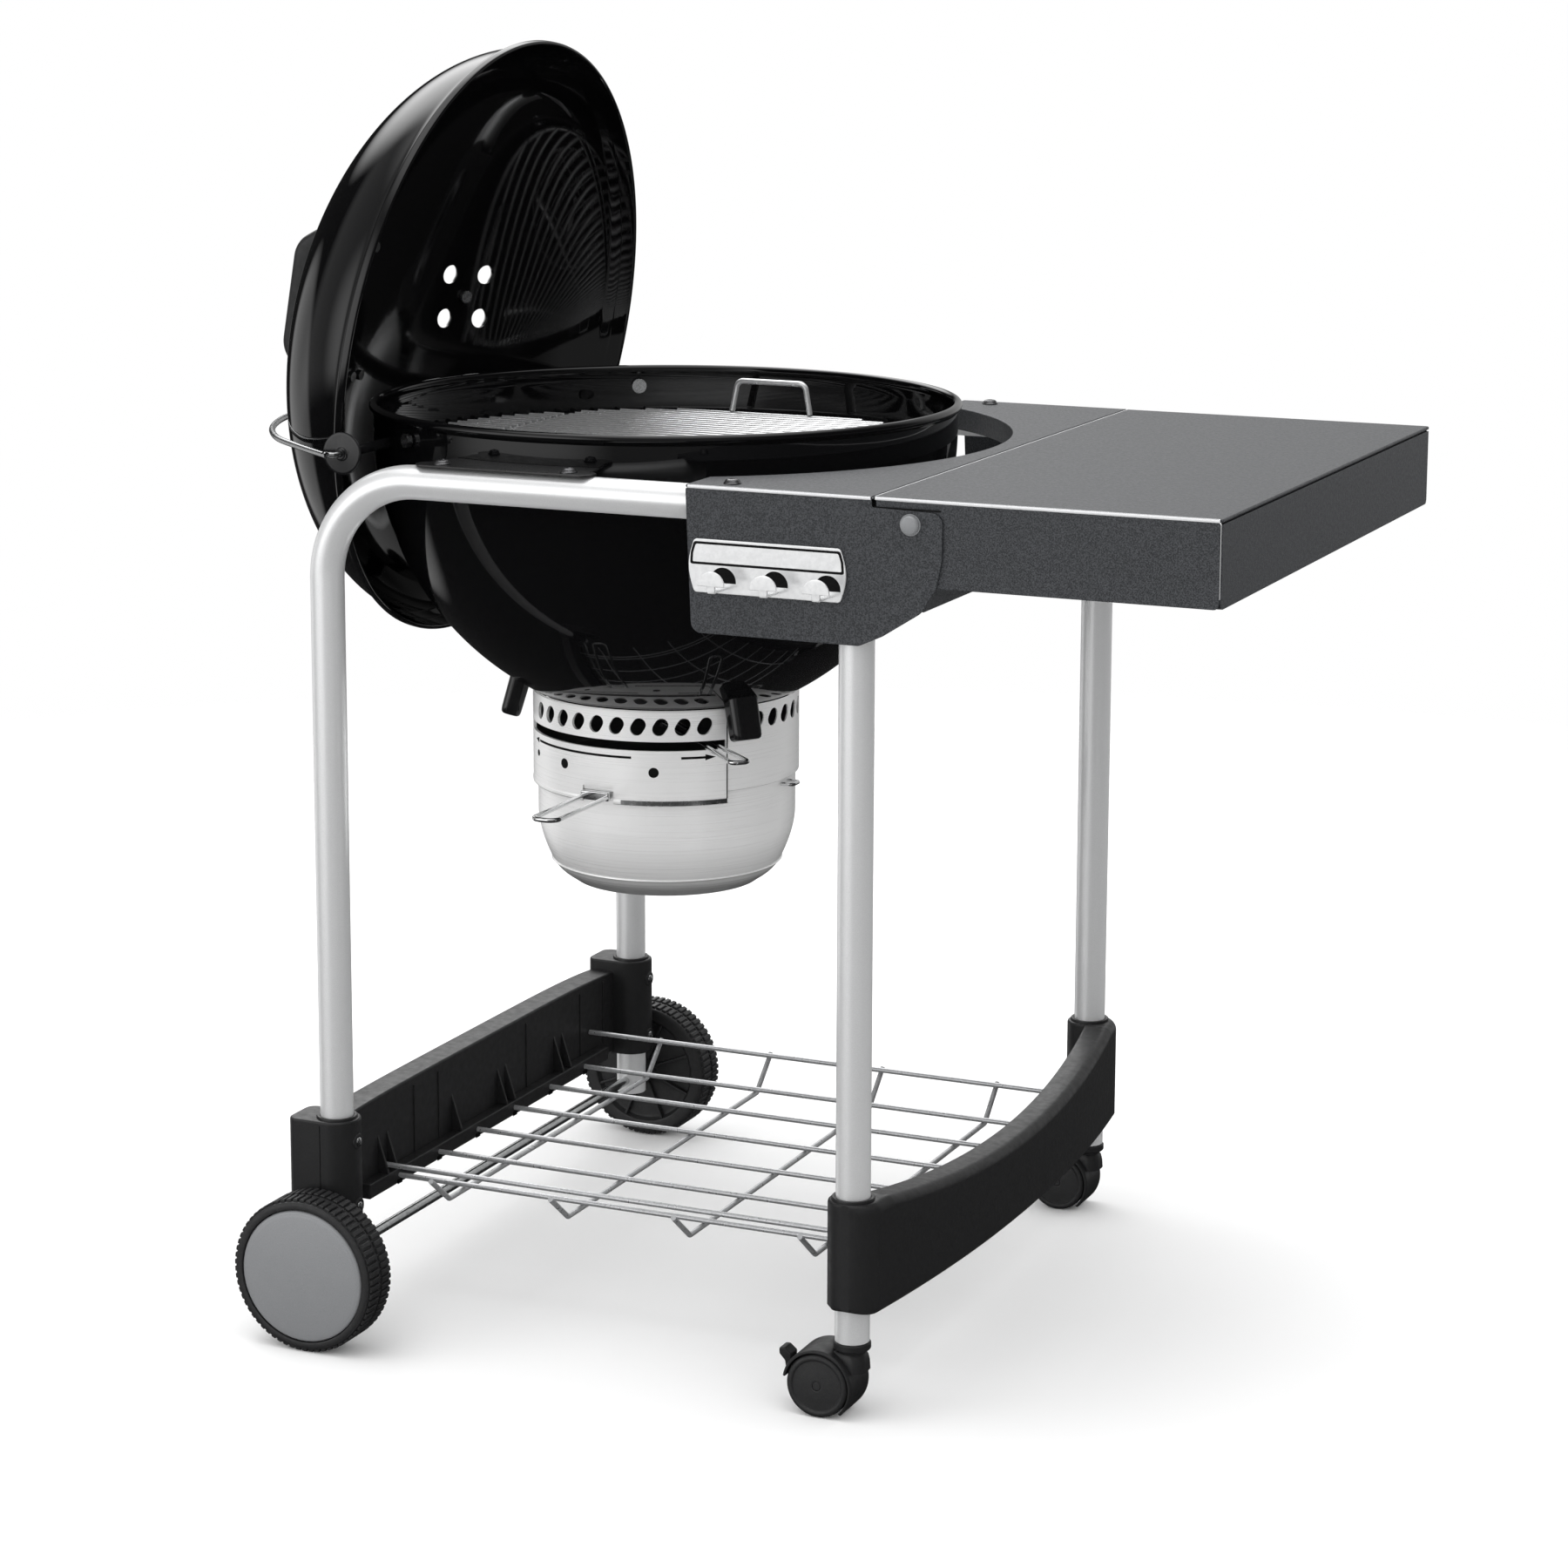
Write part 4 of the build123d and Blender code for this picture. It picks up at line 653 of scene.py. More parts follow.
# ledge along the inner side; the notches for the shelf's wires are dark patches, painted shade where recesses would be
rbox(g, (-202, 0, 118.5), (12.4, 520, 15), 1.4, 3)
for y in (-202, -121.2, -40.4, 40.4, 121.2, 202):
    rbox(g, (-195.6, y, 112.8), (0.8, 9.0, 4.6), 0.3, 1, mi=1)
for gy in (-222, -204, 26, 44, -72, 154, 172):
    slab(g, [rpoly([(-210, 124), (-196.6, 124), (-196.6, 128), (-208.5, 165), (-210, 165)], [0, 0, 2, 1, 0])], 3.0, 0.5,
         (0, gy, 0), X, Z)
# rear hooks of the rear wire and shallow ribs on the inner face
for y in (-270, -150, -100, 90, 215, 270):
    rbox(g, (-207.6, y, 160), (1.6, 2.2, 70), 0.5, 2)
make("left_beam", g, ["plastic", "seam"], "cart", ["left_end_panel"], angle=38)

# socket screws, sunk in a round boss
g = Geo()
for s in (-1, 1):
    for z in (126, 190):
        o = (-197, s * 318, z)
        lathe(g, [(8.2, 20.5), (8.2, 22.6), (7.4, 23.6), (5.2, 23.9), (4.8, 23.2)], o, X, Y, n=36, mi=1)
        lathe(g, [(4.8, 22.4), (4.3, 23.9), (3.2, 24.9), (1.4, 25.3), (1.2, 24.4), (0, 24.4)], o, X, Y, n=30)
make("socket_screw_heads", g, ["steel", "plastic"], "cart", ["end_panel_screws"])

# ------------------------------------------------------------ right end panel
g = Geo()
rings = []


def rp_out(y):
    x = 389 - (2210 - sqrt(2210 ** 2 - y * y))
    e = abs(y) - 319.0
    if e > 0:
        x = x - (22 - sqrt(max(0.0, 22 ** 2 - e * e)))
    return x


def rp_in(y):
    x = 389 - (2210 - sqrt(2210 ** 2 - y * y)) - 30
    d = abs(y) - 318
    if abs(d) < 23:
        x = min(x, 337 - sqrt(23 ** 2 - d * d)) if abs(y) < 335 else 337 - sqrt(max(0.0, 23 ** 2 - d * d))
    return x


ys = []
for k in range(0, 15):
    ys.append(341 - 22 * (1 - cos(pi / 2 * k / 14)) if False else 340.9 - 18 * (k / 14) ** 2)
ys += [322.9 - 28 * (k / 16) for k in range(1, 17)]
ys += [294.9 - 294.9 * (k / 26) for k in range(1, 27)]
ys = ys + [-y for y in ys[-2::-1]]
for y in ys:
    ay = abs(y)
    if ay < 296:
        zt = 205 - 23 * (1 - (ay / 296) ** 2)
    else:
        zt = 205
    zb = 101.5 + (4.0 * ((ay - 318) / 23) ** 3 if ay > 318 else 0)
    x0, x1 = rp_out(y), rp_in(y)
    w = max(x0 - x1, 0.6)
    ro = min(9.0, w * 0.42)
    ri = min(3.0, w * 0.3)
    rings.append([(x, y, z) for x, z in sec_xz(x0, x1, zb, zt, ro, ri, rb=min(4.0, w * 0.3))])
loft(g, rings)
for s in (-1, 1):
    yc = s * 318
    lathe(g, [(16.1, 203.5), (19.4, 203.5), (19.8, 204.0), (19.8, 206.6), (19.2, 207.4), (16.6, 207.4), (16.1, 206.8)],
          (337, yc, 0), Z, X, n=48, loop=True)
    rbox(g, (344, yc + s * 22.2, 153), (0.7, 0.5, 94), 0.12, 1, mi=1)
rbox(g, (347, 0, 113), (22, 500, 6), 1.2, 2)
make("right_beam", g, ["plastic", "seam"], "cart", ["right_end_panel"], angle=38)

# ---------------------------------------------------------------------- wheels
for name, s in SIDES:
    g = Geo()
    o, ax = (-197, 0, 75), (0, s, 0)
    lathe(g, [(5.3, 336.5), (13.2, 336.5), (14, 337.2), (14, 349.5), (15.2, 351.6), (18, 352.6), (52, 353.2), (55.5, 352.4),
              (57.6, 349.8), (58.6, 347.9), (60.4, 347.0), (68.0, 347.0), (70.6, 347.5), (72.0, 348.5), (72.5, 349.8),
              (72.5, 367.0), (73.5, 367.6), (73.5, 369.4), (72.5, 370.0), (72.5, 386.8), (72.0, 388.2), (70.4, 389.2),
              (68.4, 389.5), (66.2, 389.5), (65.2, 389.1), (64.7, 388.0), (64.7, 383.6), (14, 383.2), (5.3, 383.2)],
          o, ax, X, n=144, loop=True)
    for k in range(8):
        a = radians(45 * k + 22.5)
        d = Vector((cos(a), 0, sin(a)))
        m = Matrix((d, Vector((0, s, 0)), d.cross(Vector((0, s, 0))))).transposed()
        rbox(g, Vector(o) + d * 36 + Vector((0, s * 350.4, 0)), (44, 5.0, 3.0), 0.8, 2, rot=m)
    # two rows of tread ribs
    for row, (h0, h1) in enumerate(((350.4, 366.0), (371.0, 386.4))):
        for k in range(66):
            a = 2 * pi * (k + 0.5 * row) / 66
            vs = []
            for r, sh, hh in ((72.2, 0.36, 0.0), (74.3, 0.33, 0.0), (75.0, 0.24, 0.7)):
                w = 2 * pi / 66 * sh
                for hq in (h0 + hh, h1 - hh):
                    for da in (-w, w):
                        vs.append(Vector((-197 + r * cos(a + da), s * hq, 75 + r * sin(a + da))))
            fs = [(8, 9, 11, 10)]
            for lo in (0, 4):
                fs += [(lo, lo + 1, lo + 5, lo + 4), (lo + 1, lo + 3, lo + 7, lo + 5), (lo + 3, lo + 2, lo + 6, lo + 7),
                       (lo + 2, lo, lo + 4, lo + 6)]
            fs.append((0, 2, 3, 1))
            g.add(vs, fs)
    make(f"tyre_{name}", g, "tyre", f"{name}_wheel", [f"{name}_wheel"], angle=34)
    g = Geo()
    pr = [(0.0, 393.15)]
    for k in range(1, 25):
        r = 60.0 * k / 24
        pr.append((r, 393.15 - 3.1 * (r / 60.0) ** 2))
    pr += [(60.6, 389.7), (61.0, 389.75), (62.4, 389.4), (63.5, 388.6), (64.1, 387.4), (64.2, 386.0), (64.2, 384.6), (0, 384.6)]
    lathe(g, pr, o, ax, X, n=128)
    make(f"hub_cover_{name}", g, "hub", f"{name}_wheel", [f"{name}_hubcap"])

g = Geo()
pipe(g, [(-197, -383, 75), (-197, 383, 75)], 5.0, n=32, cham=0.8)
make("axle_rod", g, "zinc", "cart", ["axle"])

# --------------------------------------------------------------------- casters
CX = 311.0
for name, s in SIDES:
    y = s * 318.0
    # collar in the leg's end
    g = Geo()
    lathe(g, [(9, 63.6), (15.0, 63.6), (16.4, 64.0), (17.2, 65.0), (17.2, 69.6), (16.6, 70.5), (15.6, 70.9), (9, 70.9)],
          (337, y, 0), Z, X, n=48, loop=True)
    make(f"caster_collar_{name}", g, "plastic", "cart", [f"{name}_caster_socket"])
    # hood over the pair of wheels, its edges rounded, with the stem's neck
    g = Geo()
    sec = [(31.25, -22.4), (31.25, 22.4), (31.7, 22.5), (32.9, 22.3), (33.7, 21.4), (34.0, 19.8), (34.0, -19.8), (33.7, -21.4),
           (32.9, -22.3), (31.7, -22.5)]
    lathe(g, sec, (CX, y, 30), (0, -1, 0), X, n=64, a0=-46, a1=170, loop=True)
    lathe(g, [(0, -4.3), (26.6, -4.3), (28.0, -3.4), (28.0, 3.4), (26.6, 4.3), (0, 4.3)], (CX, y, 30), (0, -1, 0), X, n=72)
    rings = []
    for z, hx0, hx1, hy in ((44, -34, 15.4, 15.5), (52, -33, 15.0, 15.0), (57.5, -31, 14.0, 14.0), (60.4, -29, 12.6, 12.8),
                            (61.6, -27.4, 11.4, 11.6)):
        lp = rpoly([(hx0, -hy), (hx1, -hy), (hx1, hy), (hx0, hy)], [6, 11, 11, 6], 6)
        rings.append([(337 + px, y + py, z) for px, py in lp])
    loft(g, rings)
    lathe(g, [(0, 60.5), (12.8, 60.5), (13.2, 61.2), (13.2, 62.6), (12.6, 63.2), (0, 63.2)], (337, y, 0), Z, X, n=40)
    make(f"caster_cover_{name}", g, "plastic", f"{name}_caster", [f"{name}_caster_hood"], angle=36)
    # twin wheels
    g = Geo()
    for d in (-1, 1):
        lathe(g, [(4.2, 5.0), (26, 5.0), (28.8, 5.6), (29.8, 7.0), (30.0, 8.6), (30.0, 18.2), (29.6, 20.0), (28.6, 21.3), (27.0, 22.0),
                  (25.4, 22.1), (24.4, 21.6), (23.6, 20.7), (22.4, 20.6), (14, 21.5), (6.0, 21.9), (5.2, 21.6), (4.2, 21.6)],
              (CX, y, 30), (0, d, 0), X, n=80, loop=True)
        lathe(g, [(0, 21.9), (3.4, 21.8), (4.1, 21.2), (4.1, 5.2), (0, 5.2)], (CX, y, 30), (0, d, 0), X, n=28)
    make(f"caster_roller_{name}", g, "tyre", f"{name}_caster_wheels", [f"{name}_caster_wheels"])
    # brake pedal with a ribbed toe
    g = Geo()
    lp = rpoly([(CX - 31.6, 34), (CX - 36, 34), (CX - 37.5, 44), (CX - 43, 50), (CX - 43.5, 56), (CX - 38, 56.5), (CX - 31.2, 51),
                (CX - 31.5, 42)], [1, 1.5, 3, 2.5, 2.2, 3, 2, 1], 5)
    slab(g, [lp], 15, 1.2, (0, y, 0), X, Z)
    for k in range(4):
        rbox(g, (CX - 41.6 + 1.5 * k, y, 55.8 + 0.15 * k), (0.7, 11, 0.9), 0.25, 1)
    make(f"brake_pedal_{name}", g, "plastic", f"{name}_caster_brake", [f"{name}_caster_brake"])

# ------------------------------------------------------------------- ash parts
A0 = -90


def on_ring(a, r, z):
    return (r * cos(radians(a)), r * sin(radians(a)), z)


def slanted(a, r, z, length, width, rot, n=8):
    """Outline of an oblong on the ring: points in (degrees, z) pairs."""
    pts = []
    h = (length - width) / 2
    rr = width / 2
    cr, sr = cos(radians(rot)), sin(radians(rot))
    for t in [-90 + 180 * k / n for k in range(n + 1)]:
        pts.append((h + rr * cos(radians(t)), rr * sin(radians(t))))
    for t in [90 + 180 * k / n for k in range(n + 1)]:
        pts.append((-h + rr * cos(radians(t)), rr * sin(radians(t))))
    return [(a + degrees((px * cr - py * sr) / r), z + px * sr + py * cr) for px, py in pts]


HOLE_AZ = [-133 + 9.4 * k for k in range(10)] + [-22 + 9.4 * k for k in range(10)] + [107 + 9.4 * k for k in range(10)]


def hole_tool(a, grow=0.0):
    c = Geo()
    out = slanted(a, 131, 575, 18 + grow, 13 + grow, 58)
    loft(c, [[on_ring(q, 118, z) for q, z in out], [on_ring(q, 140, z) for q, z in out]])
    return c


def joined(parts):
    c = Geo()
    for p in parts:
        c.add(p.v, p.f)
    return c


slot_out = arc_pts((0, 0), 122, -147, -39, 54) + arc_pts((0, 0), 140, -39, -147, 54)
slot_tool = Geo()
loft(slot_tool, [[(x, y, 551.5) for x, y in slot_out], [(x, y, 560.5) for x, y in slot_out]])
holes = joined([hole_tool(a) for a in HOLE_AZ])
SOCKET_AZ = (-35.0, -155.0, 85.0)

g = Geo()
bowl_z = 850 - 291 * sqrt(1 - (130.3 / 285) ** 2)
lathe(g, [(129.5, 509.4), (129.8, 509.0), (130.7, 509.0), (131.0, 509.4), (131.0, bowl_z - 0.4), (129.5, bowl_z - 0.9)],
      (0, 0, 0), Z, X, n=180, loop=True)
make("ash_ring_band", g, "stainless", "cart", ["ash_ring"], cuts=[holes, slot_tool])

# front plate: rolled lower hem, an opening for the pot's handle, plain marks
g = Geo()
sec = [(131.15, 498.4), (131.15, bowl_z - 1.4), (132.2, bowl_z - 1.4), (132.2, 503.0), (132.55, 501.6), (132.75, 499.9), (132.4, 498.2),
       (131.7, 497.4), (131.2, 497.6)]
lathe(g, sec, (0, 0, 0), Z, X, n=150, a0=-168, a1=-38, loop=True)
c1 = Geo()
rbox(c1, (-11, -130, 501), (34, 22, 24), 0.0)
make("ring_plate_front", g, "stainless", "cart", ["ring_front_plate"], cuts=[holes, slot_tool, c1])

# small stamped marks on the plate: plain arrows and bars round the slot
g = Geo()


def mark(pts, r=132.22, t=0.16, mi=0):
    loft(g, [[on_ring(q, r, z) for q, z in pts], [on_ring(q, r + t, z) for q, z in pts]], mi=mi)


def bar(a0, a1, z, h=0.9):
    n = max(2, int(abs(a1 - a0) / 1.5))
    for k in range(n):
        p, q = a0 + (a1 - a0) * k / n, a0 + (a1 - a0) * (k + 1) / n
        mark([(p, z - h / 2), (q, z - h / 2), (q, z + h / 2), (p, z + h / 2)])


def dot(a, z, r):
    n = 24
    rim = [(a + degrees(r * cos(2 * pi * k / n) / 132.3), z + r * sin(2 * pi * k / n)) for k in range(n)]
    for k in range(n):
        mark([(a, z), rim[k], rim[(k + 1) % n]])


bar(-134, -79.5, 544.6, 2.3)
mark([(-139.4, 544.6), (-135.2, 541.8), (-135.2, 547.4)])
bar(-58.5, -48, 544.6, 2.3)
mark([(-43.6, 544.6), (-48.2, 541.6), (-48.2, 547.6)])
dot(-136, 531.5, 3.2)
dot(-113, 530.5, 5.0)
dot(-70, 530.5, 5.0)
# grey hem along the plate's lower edge
for k in range(34):
    p, q = -84.0 + 45.5 * k / 34, -84.0 + 45.5 * (k + 1) / 34
    mark([(p, 497.9), (q, 497.9), (q, 502.4), (p, 502.4)], 132.1, 0.75, 1)
# painted shadow: a dark line along the plate's free end
bar(-38.7, -38.2, 543.0, 88.0)
make("plate_marks_and_painted_end_shadow", g, ["groove", "wire"], "cart", [])

# ash pot: straight wall, shoulder, crease and bulged floor, rolled top edge
g = Geo()
pr = [(0.0, 392.0)]
for k in range(1, 17):
    r = 92.0 * k / 16
    pr.append((r, 392 + 7 * (r / 92.0) ** 2))
pr += [(96.5, 402.2), (100.6, 404.9), (104.2, 407.6), (107.3, 410.4), (110.0, 413.4), (111.8, 415.9), (112.9, 417.4), (114.2, 417.9), (114.9, 418.6), (114.6, 419.4), (113.9, 419.9)]
for k in range(1, 13):
    t = k / 12
    zz = 419.9 + (468 - 419.9) * t
    pr.append((127.5 - (127.5 - 113.9) * (1 - t) ** 1.75, zz))
pr += [(127.5, 480), (127.5, 495), (127.5, 511.8), (127.9, 512.6), (127.8, 513.5), (127.1, 514.0), (126.3, 513.7), (125.9, 512.8)]
pr += [(125.9, 495), (125.9, 470), (122.0, 440), (111.6, 418.4), (100, 406.4), (91, 400.4)]
for k in range(1, 9):
    r = 91.0 * (1 - k / 8)
    pr.append((r, 393.6 + 6.8 * (r / 91.0) ** 2))
pr[-1] = (0.0, 393.6)
lathe(g, pr, (0, 0, 0), Z, X, n=168)
make("ash_pot_shell", g, "stainless", "ash_pot", ["ash_pot"], angle=26)

# its handle: a wire loop with a steel block against the wall
g = Geo()
pipe(g, bend([(-23.5, -126.2, 504.5), (-23.5, -246, 504.5), (1.5, -246, 504.5), (1.5, -127.9, 504.5)], 9, 10), 2.3, n=20)
rbox(g, (-11, -136.6, 505.5), (30, 5, 9), 1.2, 3)
make("pot_handle_loop", g, "chrome", "ash_pot", ["ash_pot_handle"])

# leg sockets: tapered black sleeves against the bowl
g = Geo()
for a in SOCKET_AZ:
    ca, sa = cos(radians(a)), sin(radians(a))
    d = Vector((ca * sin(radians(16)), sa * sin(radians(16)), -cos(radians(16))))
    tx = Vector((-sa, ca, 0))
    ty = d.cross(tx).normalized()
    o = Vector((ca * 140, sa * 140, 614))
    rings = []
    for h, f in ((0, 1.0), (18, 0.985), (34, 0.965), (46, 0.95), (49.6, 0.93), (52.0, 0.87), (53.2, 0.76)):
        lp = rpoly([(-16 * f, -10.5 * f), (16 * f, -10.5 * f), (16 * f, 10.5 * f), (-16 * f, 10.5 * f)], 7 * f, 7)
        rings.append([o + d * h + tx * px + ty * py for px, py in lp])
    loft(g, rings)
make("leg_socket_sleeves", g, "gloss", "cart", ["leg_sockets"], angle=36)

# ------------------------------------------------------------------ side table
# fixed panel: top with the round cut, lip, cheeks
g = Geo()
ang = degrees(atan2(sqrt(338 ** 2 - 180 ** 2), 180))
lp = rpoly([(180.0, -338.6), (358.4, -338.6), (358.4, 338.6), (180.0, 338.6)], [3, 1, 1, 3], 4)
cut = arc_pts((0, 0), 338, ang, -ang, 96)
lp = lp[:len(lp)] + cut
slab(g, [lp], 3.2, 1.5, (0, 0, 844.7), X, Y, res=4)
lip = arc_pts((0, 0), 338.3, ang - 2, -ang + 2, 96) + arc_pts((0, 0), 339.9, -ang + 2, ang - 2, 96)
slab(g, [lip], 20, 0.3, (0, 0, 834), X, Y, res=1)
OUT = [(180.4, 843.0), (358.2, 843.0), (358.2, 836.8), (424, 835), (424, 795), (419, 770), (405, 747), (369, 724), (347, 714),
       (186, 714)]
RAD = [1.0, 1.0, 2.0, 10, 26, 20, 16, 24, 12, 10]
for s in (-1, 1):
    slab(g, [rpoly(OUT, RAD, 8), ring2d(394.7, 823.9, 4.4, 20)], 1.7, 0.5, (0, s * 337.4, 0), X, Z)
    # painted shadow: a dark line where the leaf's flange goes behind the cheek
    rbox(g, (391.0, s * 336.78, 836.9), (62.0, 0.4, 1.4), 0.0, 1, mi=1)
# painted highlight: pale rods along the top's rolled side edges and along its edge at the seam
for s in (-1, 1):
    pipe(g, [(182.5, s * 337.0, 844.6), (357.6, s * 337.0, 844.6)], 1.72, n=20, mi=2, cham=0.3)
pipe(g, [(356.86, -337.0, 844.7), (356.86, 337.0, 844.7)], 1.56, n=20, mi=2, cham=0.3)
make("fixed_panel", g, ["table", "groove", "edge"], "cart", ["table_support"], angle=40)

# folding leaf: rolled top edge, flanges with a shadow gap below it, turned-in end
g = Geo()
slab(g, [rpoly([(358.8, -336.4), (673.9, -336.4), (673.9, 336.4), (358.8, 336.4)], [1, 4, 4, 1], 6)], 3.2, 1.5, (0, 0, 844.7), X, Y, res=4)
FL = [(361.4, 843.0), (671.6, 843.0), (671.6, 769.2), (394.7, 769.2), (394.7, 801.9)] + \
     [(394.7 - 22 * sin(radians(t)), 823.9 - 22 * cos(radians(t))) for t in (15, 30, 45, 60, 75, 90)] + [(361.4, 835.0)]
for s in (-1, 1):
    slab(g, [rpoly(FL, [1, 2.5, 5, 6, 0] + [0] * 6 + [2], 5), ring2d(394.7, 823.9, 4.4, 20)], 1.7, 0.5, (0, s * 334.8, 0), X, Z)
slab(g, [rpoly([(-334.4, 841.8), (334.4, 841.8), (334.4, 769.2), (-334.4, 769.2)], [1, 1, 5, 5], 5)], 1.7, 0.5, (672.6, 0, 0), Y, Z)
# painted shade: a dark strip behind the gap under the end's rolled edge
rbox(g, (671.4, 0, 842.4), (1.0, 664, 2.0), 0.0, 1, mi=1)
rbox(g, (665.6, 0, 770.1), (13.4, 662, 1.6), 0.5, 2)
# stiffening beads on the under side
for x in (445, 520, 595):
    rbox(g, (x, 0, 842.9), (16, 560, 2.4), 0.9, 3)
# painted highlight: pale rods along the leaf's rolled side edges, its end and its edge at the seam
for s in (-1, 1):
    pipe(g, [(360.4, s * 334.8, 844.6), (671.2, s * 334.8, 844.6)], 1.72, n=20, mi=2, cham=0.3)
pipe(g, [(672.3, -333.2, 844.7), (672.3, 333.2, 844.7)], 1.56, n=20, mi=2, cham=0.3)
pipe(g, [(360.34, -334.0, 844.84), (360.34, 334.0, 844.84)], 1.56, n=20, mi=2, cham=0.3)
make("leaf_tray", g, ["table", "groove", "edge"], "leaf", ["folding_leaf"], angle=40)

# pivot bolts: a broad satin head on a washer, a nut inside
g = Geo()
for s in (-1, 1):
    o, ax = (394.7, 0, 823.9), (0, s, 0)
    lathe(g, [(0, 343.9), (5.4, 343.8), (7.2, 343.3), (8.2, 342.2), (8.4, 341.0), (8.4, 339.6), (8.0, 339.2), (9.6, 339.2), (9.6, 338.75),
              (0, 338.75)], o, ax, X, n=48)
    lathe(g, [(0, 338.8), (4.0, 338.8), (4.0, 329.6), (3.4, 329.0), (0, 329.0)], o, ax, X, n=28)
    lathe(g, [(4.1, 333.3), (6.4, 333.3), (7.0, 332.7), (7.0, 329.6), (6.4, 329.1), (4.1, 329.1)], o, ax, X, n=6, loop=True)
make("pivot_bolt_heads", g, "hub", "cart", ["leaf_pivot_bolts"])

# tool plate with a bare framed field and three punched hooks
g = Geo()
pl = [(190, 799), (330, 799)] + [(330 + 5.5 * sin(radians(180 * k / 12)), 799 - 48 * k / 12) for k in range(1, 12)] + \
     [(330, 751), (190, 751)] + [(190 - 5.5 * sin(radians(180 * k / 12)), 751 + 48 * k / 12) for k in range(1, 12)]
rr = [4, 4] + [0] * 11 + [4, 4] + [0] * 11
slab(g, [rpoly(pl, rr, 6)], 1.6, 0.6, (0, -339.5, 0), X, Z, res=3)
HOOK_X = (218, 268, 318)
cuts = []
for x in HOOK_X:
    # opening left by the punched tongue
    c = Geo()
    slab(c, [arc_pts((x, 762), 12.6, 0, 180, 28) + [(x - 12.6, 760.6), (x + 12.6, 760.6)]], 8.0, 0.0, (0, -339.5, 0), X, Z)
    cuts.append(c)
make("tool_rail_plate", g, "plate", "cart", ["tool_plate"], angle=36, cuts=cuts)
# frame line round the bare upper field, and painted shade: dark sheets behind the openings stand in for their shadow
g = Geo()
fo = rpoly([(189.8, 796.6), (330.2, 796.6), (333.2, 786.5), (333.8, 776.2), (186.2, 776.2), (186.8, 786.5)], [3, 3, 9, 2, 2, 9], 6)
fi = rpoly([(191.7, 794.4), (328.3, 794.4), (330.8, 786.5), (331.4, 778.4), (188.6, 778.4), (189.2, 786.5)], [2, 2, 9, 1, 1, 9], 6)
slab(g, [fo, fi], 0.3, 0.06, (0, -340.33, 0), X, Z, res=1)
for x in HOOK_X:
    slab(g, [arc_pts((x, 762), 13.0, 0, 180, 28) + [(x - 13.0, 760.2), (x + 13.0, 760.2)]], 0.2, 0.0, (0, -338.6, 0), X, Z)
make("plate_frame_line_and_painted_opening_shade", g, "groove", "cart", [])
# the tongues stand in front of their openings, on flat stems bent up at the end
g = Geo()
for x in HOOK_X:
    lp = arc_pts((x, 762), 12.8, 0, 180, 28) + [(x - 12.8, 761.4), (x - 4, 761.4), (x - 4, 757.2), (x - 2.6, 755.2), (x + 2.6, 755.2),
                                                (x + 4, 757.2), (x + 4, 761.4), (x + 12.8, 761.4)]
    slab(g, [lp], 1.8, 0.4, (0, -365.3, 0), X, Z, res=2)
    rbox(g, (x, -353.0, 756.0), (7.6, 25.0, 1.8), 0.4, 2)
    pipe(g, [(x - 3.9, -364.4, 756.9), (x + 3.9, -364.4, 756.9)], 1.7, n=16, cham=0.4)
make("tool_hook_tongues", g, "plate", "cart", ["tool_hooks"], angle=40)

# sleeves of the lid holder with a rounded flange
for name, s in SIDES:
    g = Geo()
    ys0 = sqrt(285.4 ** 2 - 190.5 ** 2)
    lathe(g, [(0, ys0 - 12), (4.6, ys0 - 12), (4.8, ys0), (4.8, 294.2), (5.6, 295.8), (7.2, 296.5), (17.6, 296.5), (19.2, 296.7), (19.9, 297.3),
              (20.0, 298.0), (19.8, 298.8), (19.0, 299.3), (17.6, 299.5), (7.2, 299.5), (5.8, 300.0), (4.8, 301.2), (4.8, 303.5), (4.4, 303.9),
              (0, 303.9)], (-190.5, 0, 847), (0, s, 0), X, n=56)
    make(f"holder_bush_{name}", g, "gloss", "cart", [f"holder_sleeve_{name}"])

# the holder's wire, one smooth bow round the parked lid
g = Geo()
half = [(-190.5, 304.1), (-190.5, 321.0), (-256, 270), (-308, 222), (-355, 148), (-383, 60)]
knots = [Vector(p) for p in half[1:]]
knots = [knots[0] * 2 - knots[1]] + knots + [Vector((x, -y)) for x, y in knots[:-3:-1]]
bow = []
for i in range(1, len(knots) - 2):
    p0, p1, p2, p3 = knots[i - 1:i + 3]
    for k in range(12):
        t = k / 12
        q = p1 * 2 + (p2 - p0) * t + (p0 * 2 - p1 * 5 + p2 * 4 - p3) * t * t + (p1 * 3 - p0 - p2 * 3 + p3) * t ** 3
        bow.append((q.x / 2, q.y / 2))
bow = [q for q in bow if q[1] > 1.0]
front = [(x, -y, 847) for x, y in [half[0]] + bow]
pts = front + [(x, -y, z) for x, y, z in front[::-1]]
pipe(g, bend(pts, [7] + [0.5] * (len(pts) - 4) + [7], 3), 3.0, n=24)
make("holder_wire_bow", g, "wire", "cart", ["lid_holder_wire"])

# ------------------------------------------------- finishes of the other nodes
KEEP = {
    "wire_shelf": "shelf", "shelf_cross_wires": "shelf", "shelf_front_wire": "shelf", "cooking_grate": "grate", "grate_handles": "grate", "grate_flap_left": "grate",
    "grate_flap_right": "grate", "charcoal_grate": "steel", "grate_tabs": "steel", "ash_sweeper": "steel", "sweeper_lever": "chrome",
    "ash_pot_catches": "chrome", "bowl_bolts": "steel", "brace_bolts": "steel", "table_brace": "table", "lid_damper": "sheet",
    "damper_rivet": "steel", "lid_handle_screws": "chrome",
}
for n, m in KEEP.items():
    if n in NODES:
        ob = NODES[n]
        for i in range(len(ob.data.materials)):
            ob.data.materials[i] = M[m]
        if not len(ob.data.materials):
            ob.data.materials.append(M[m])

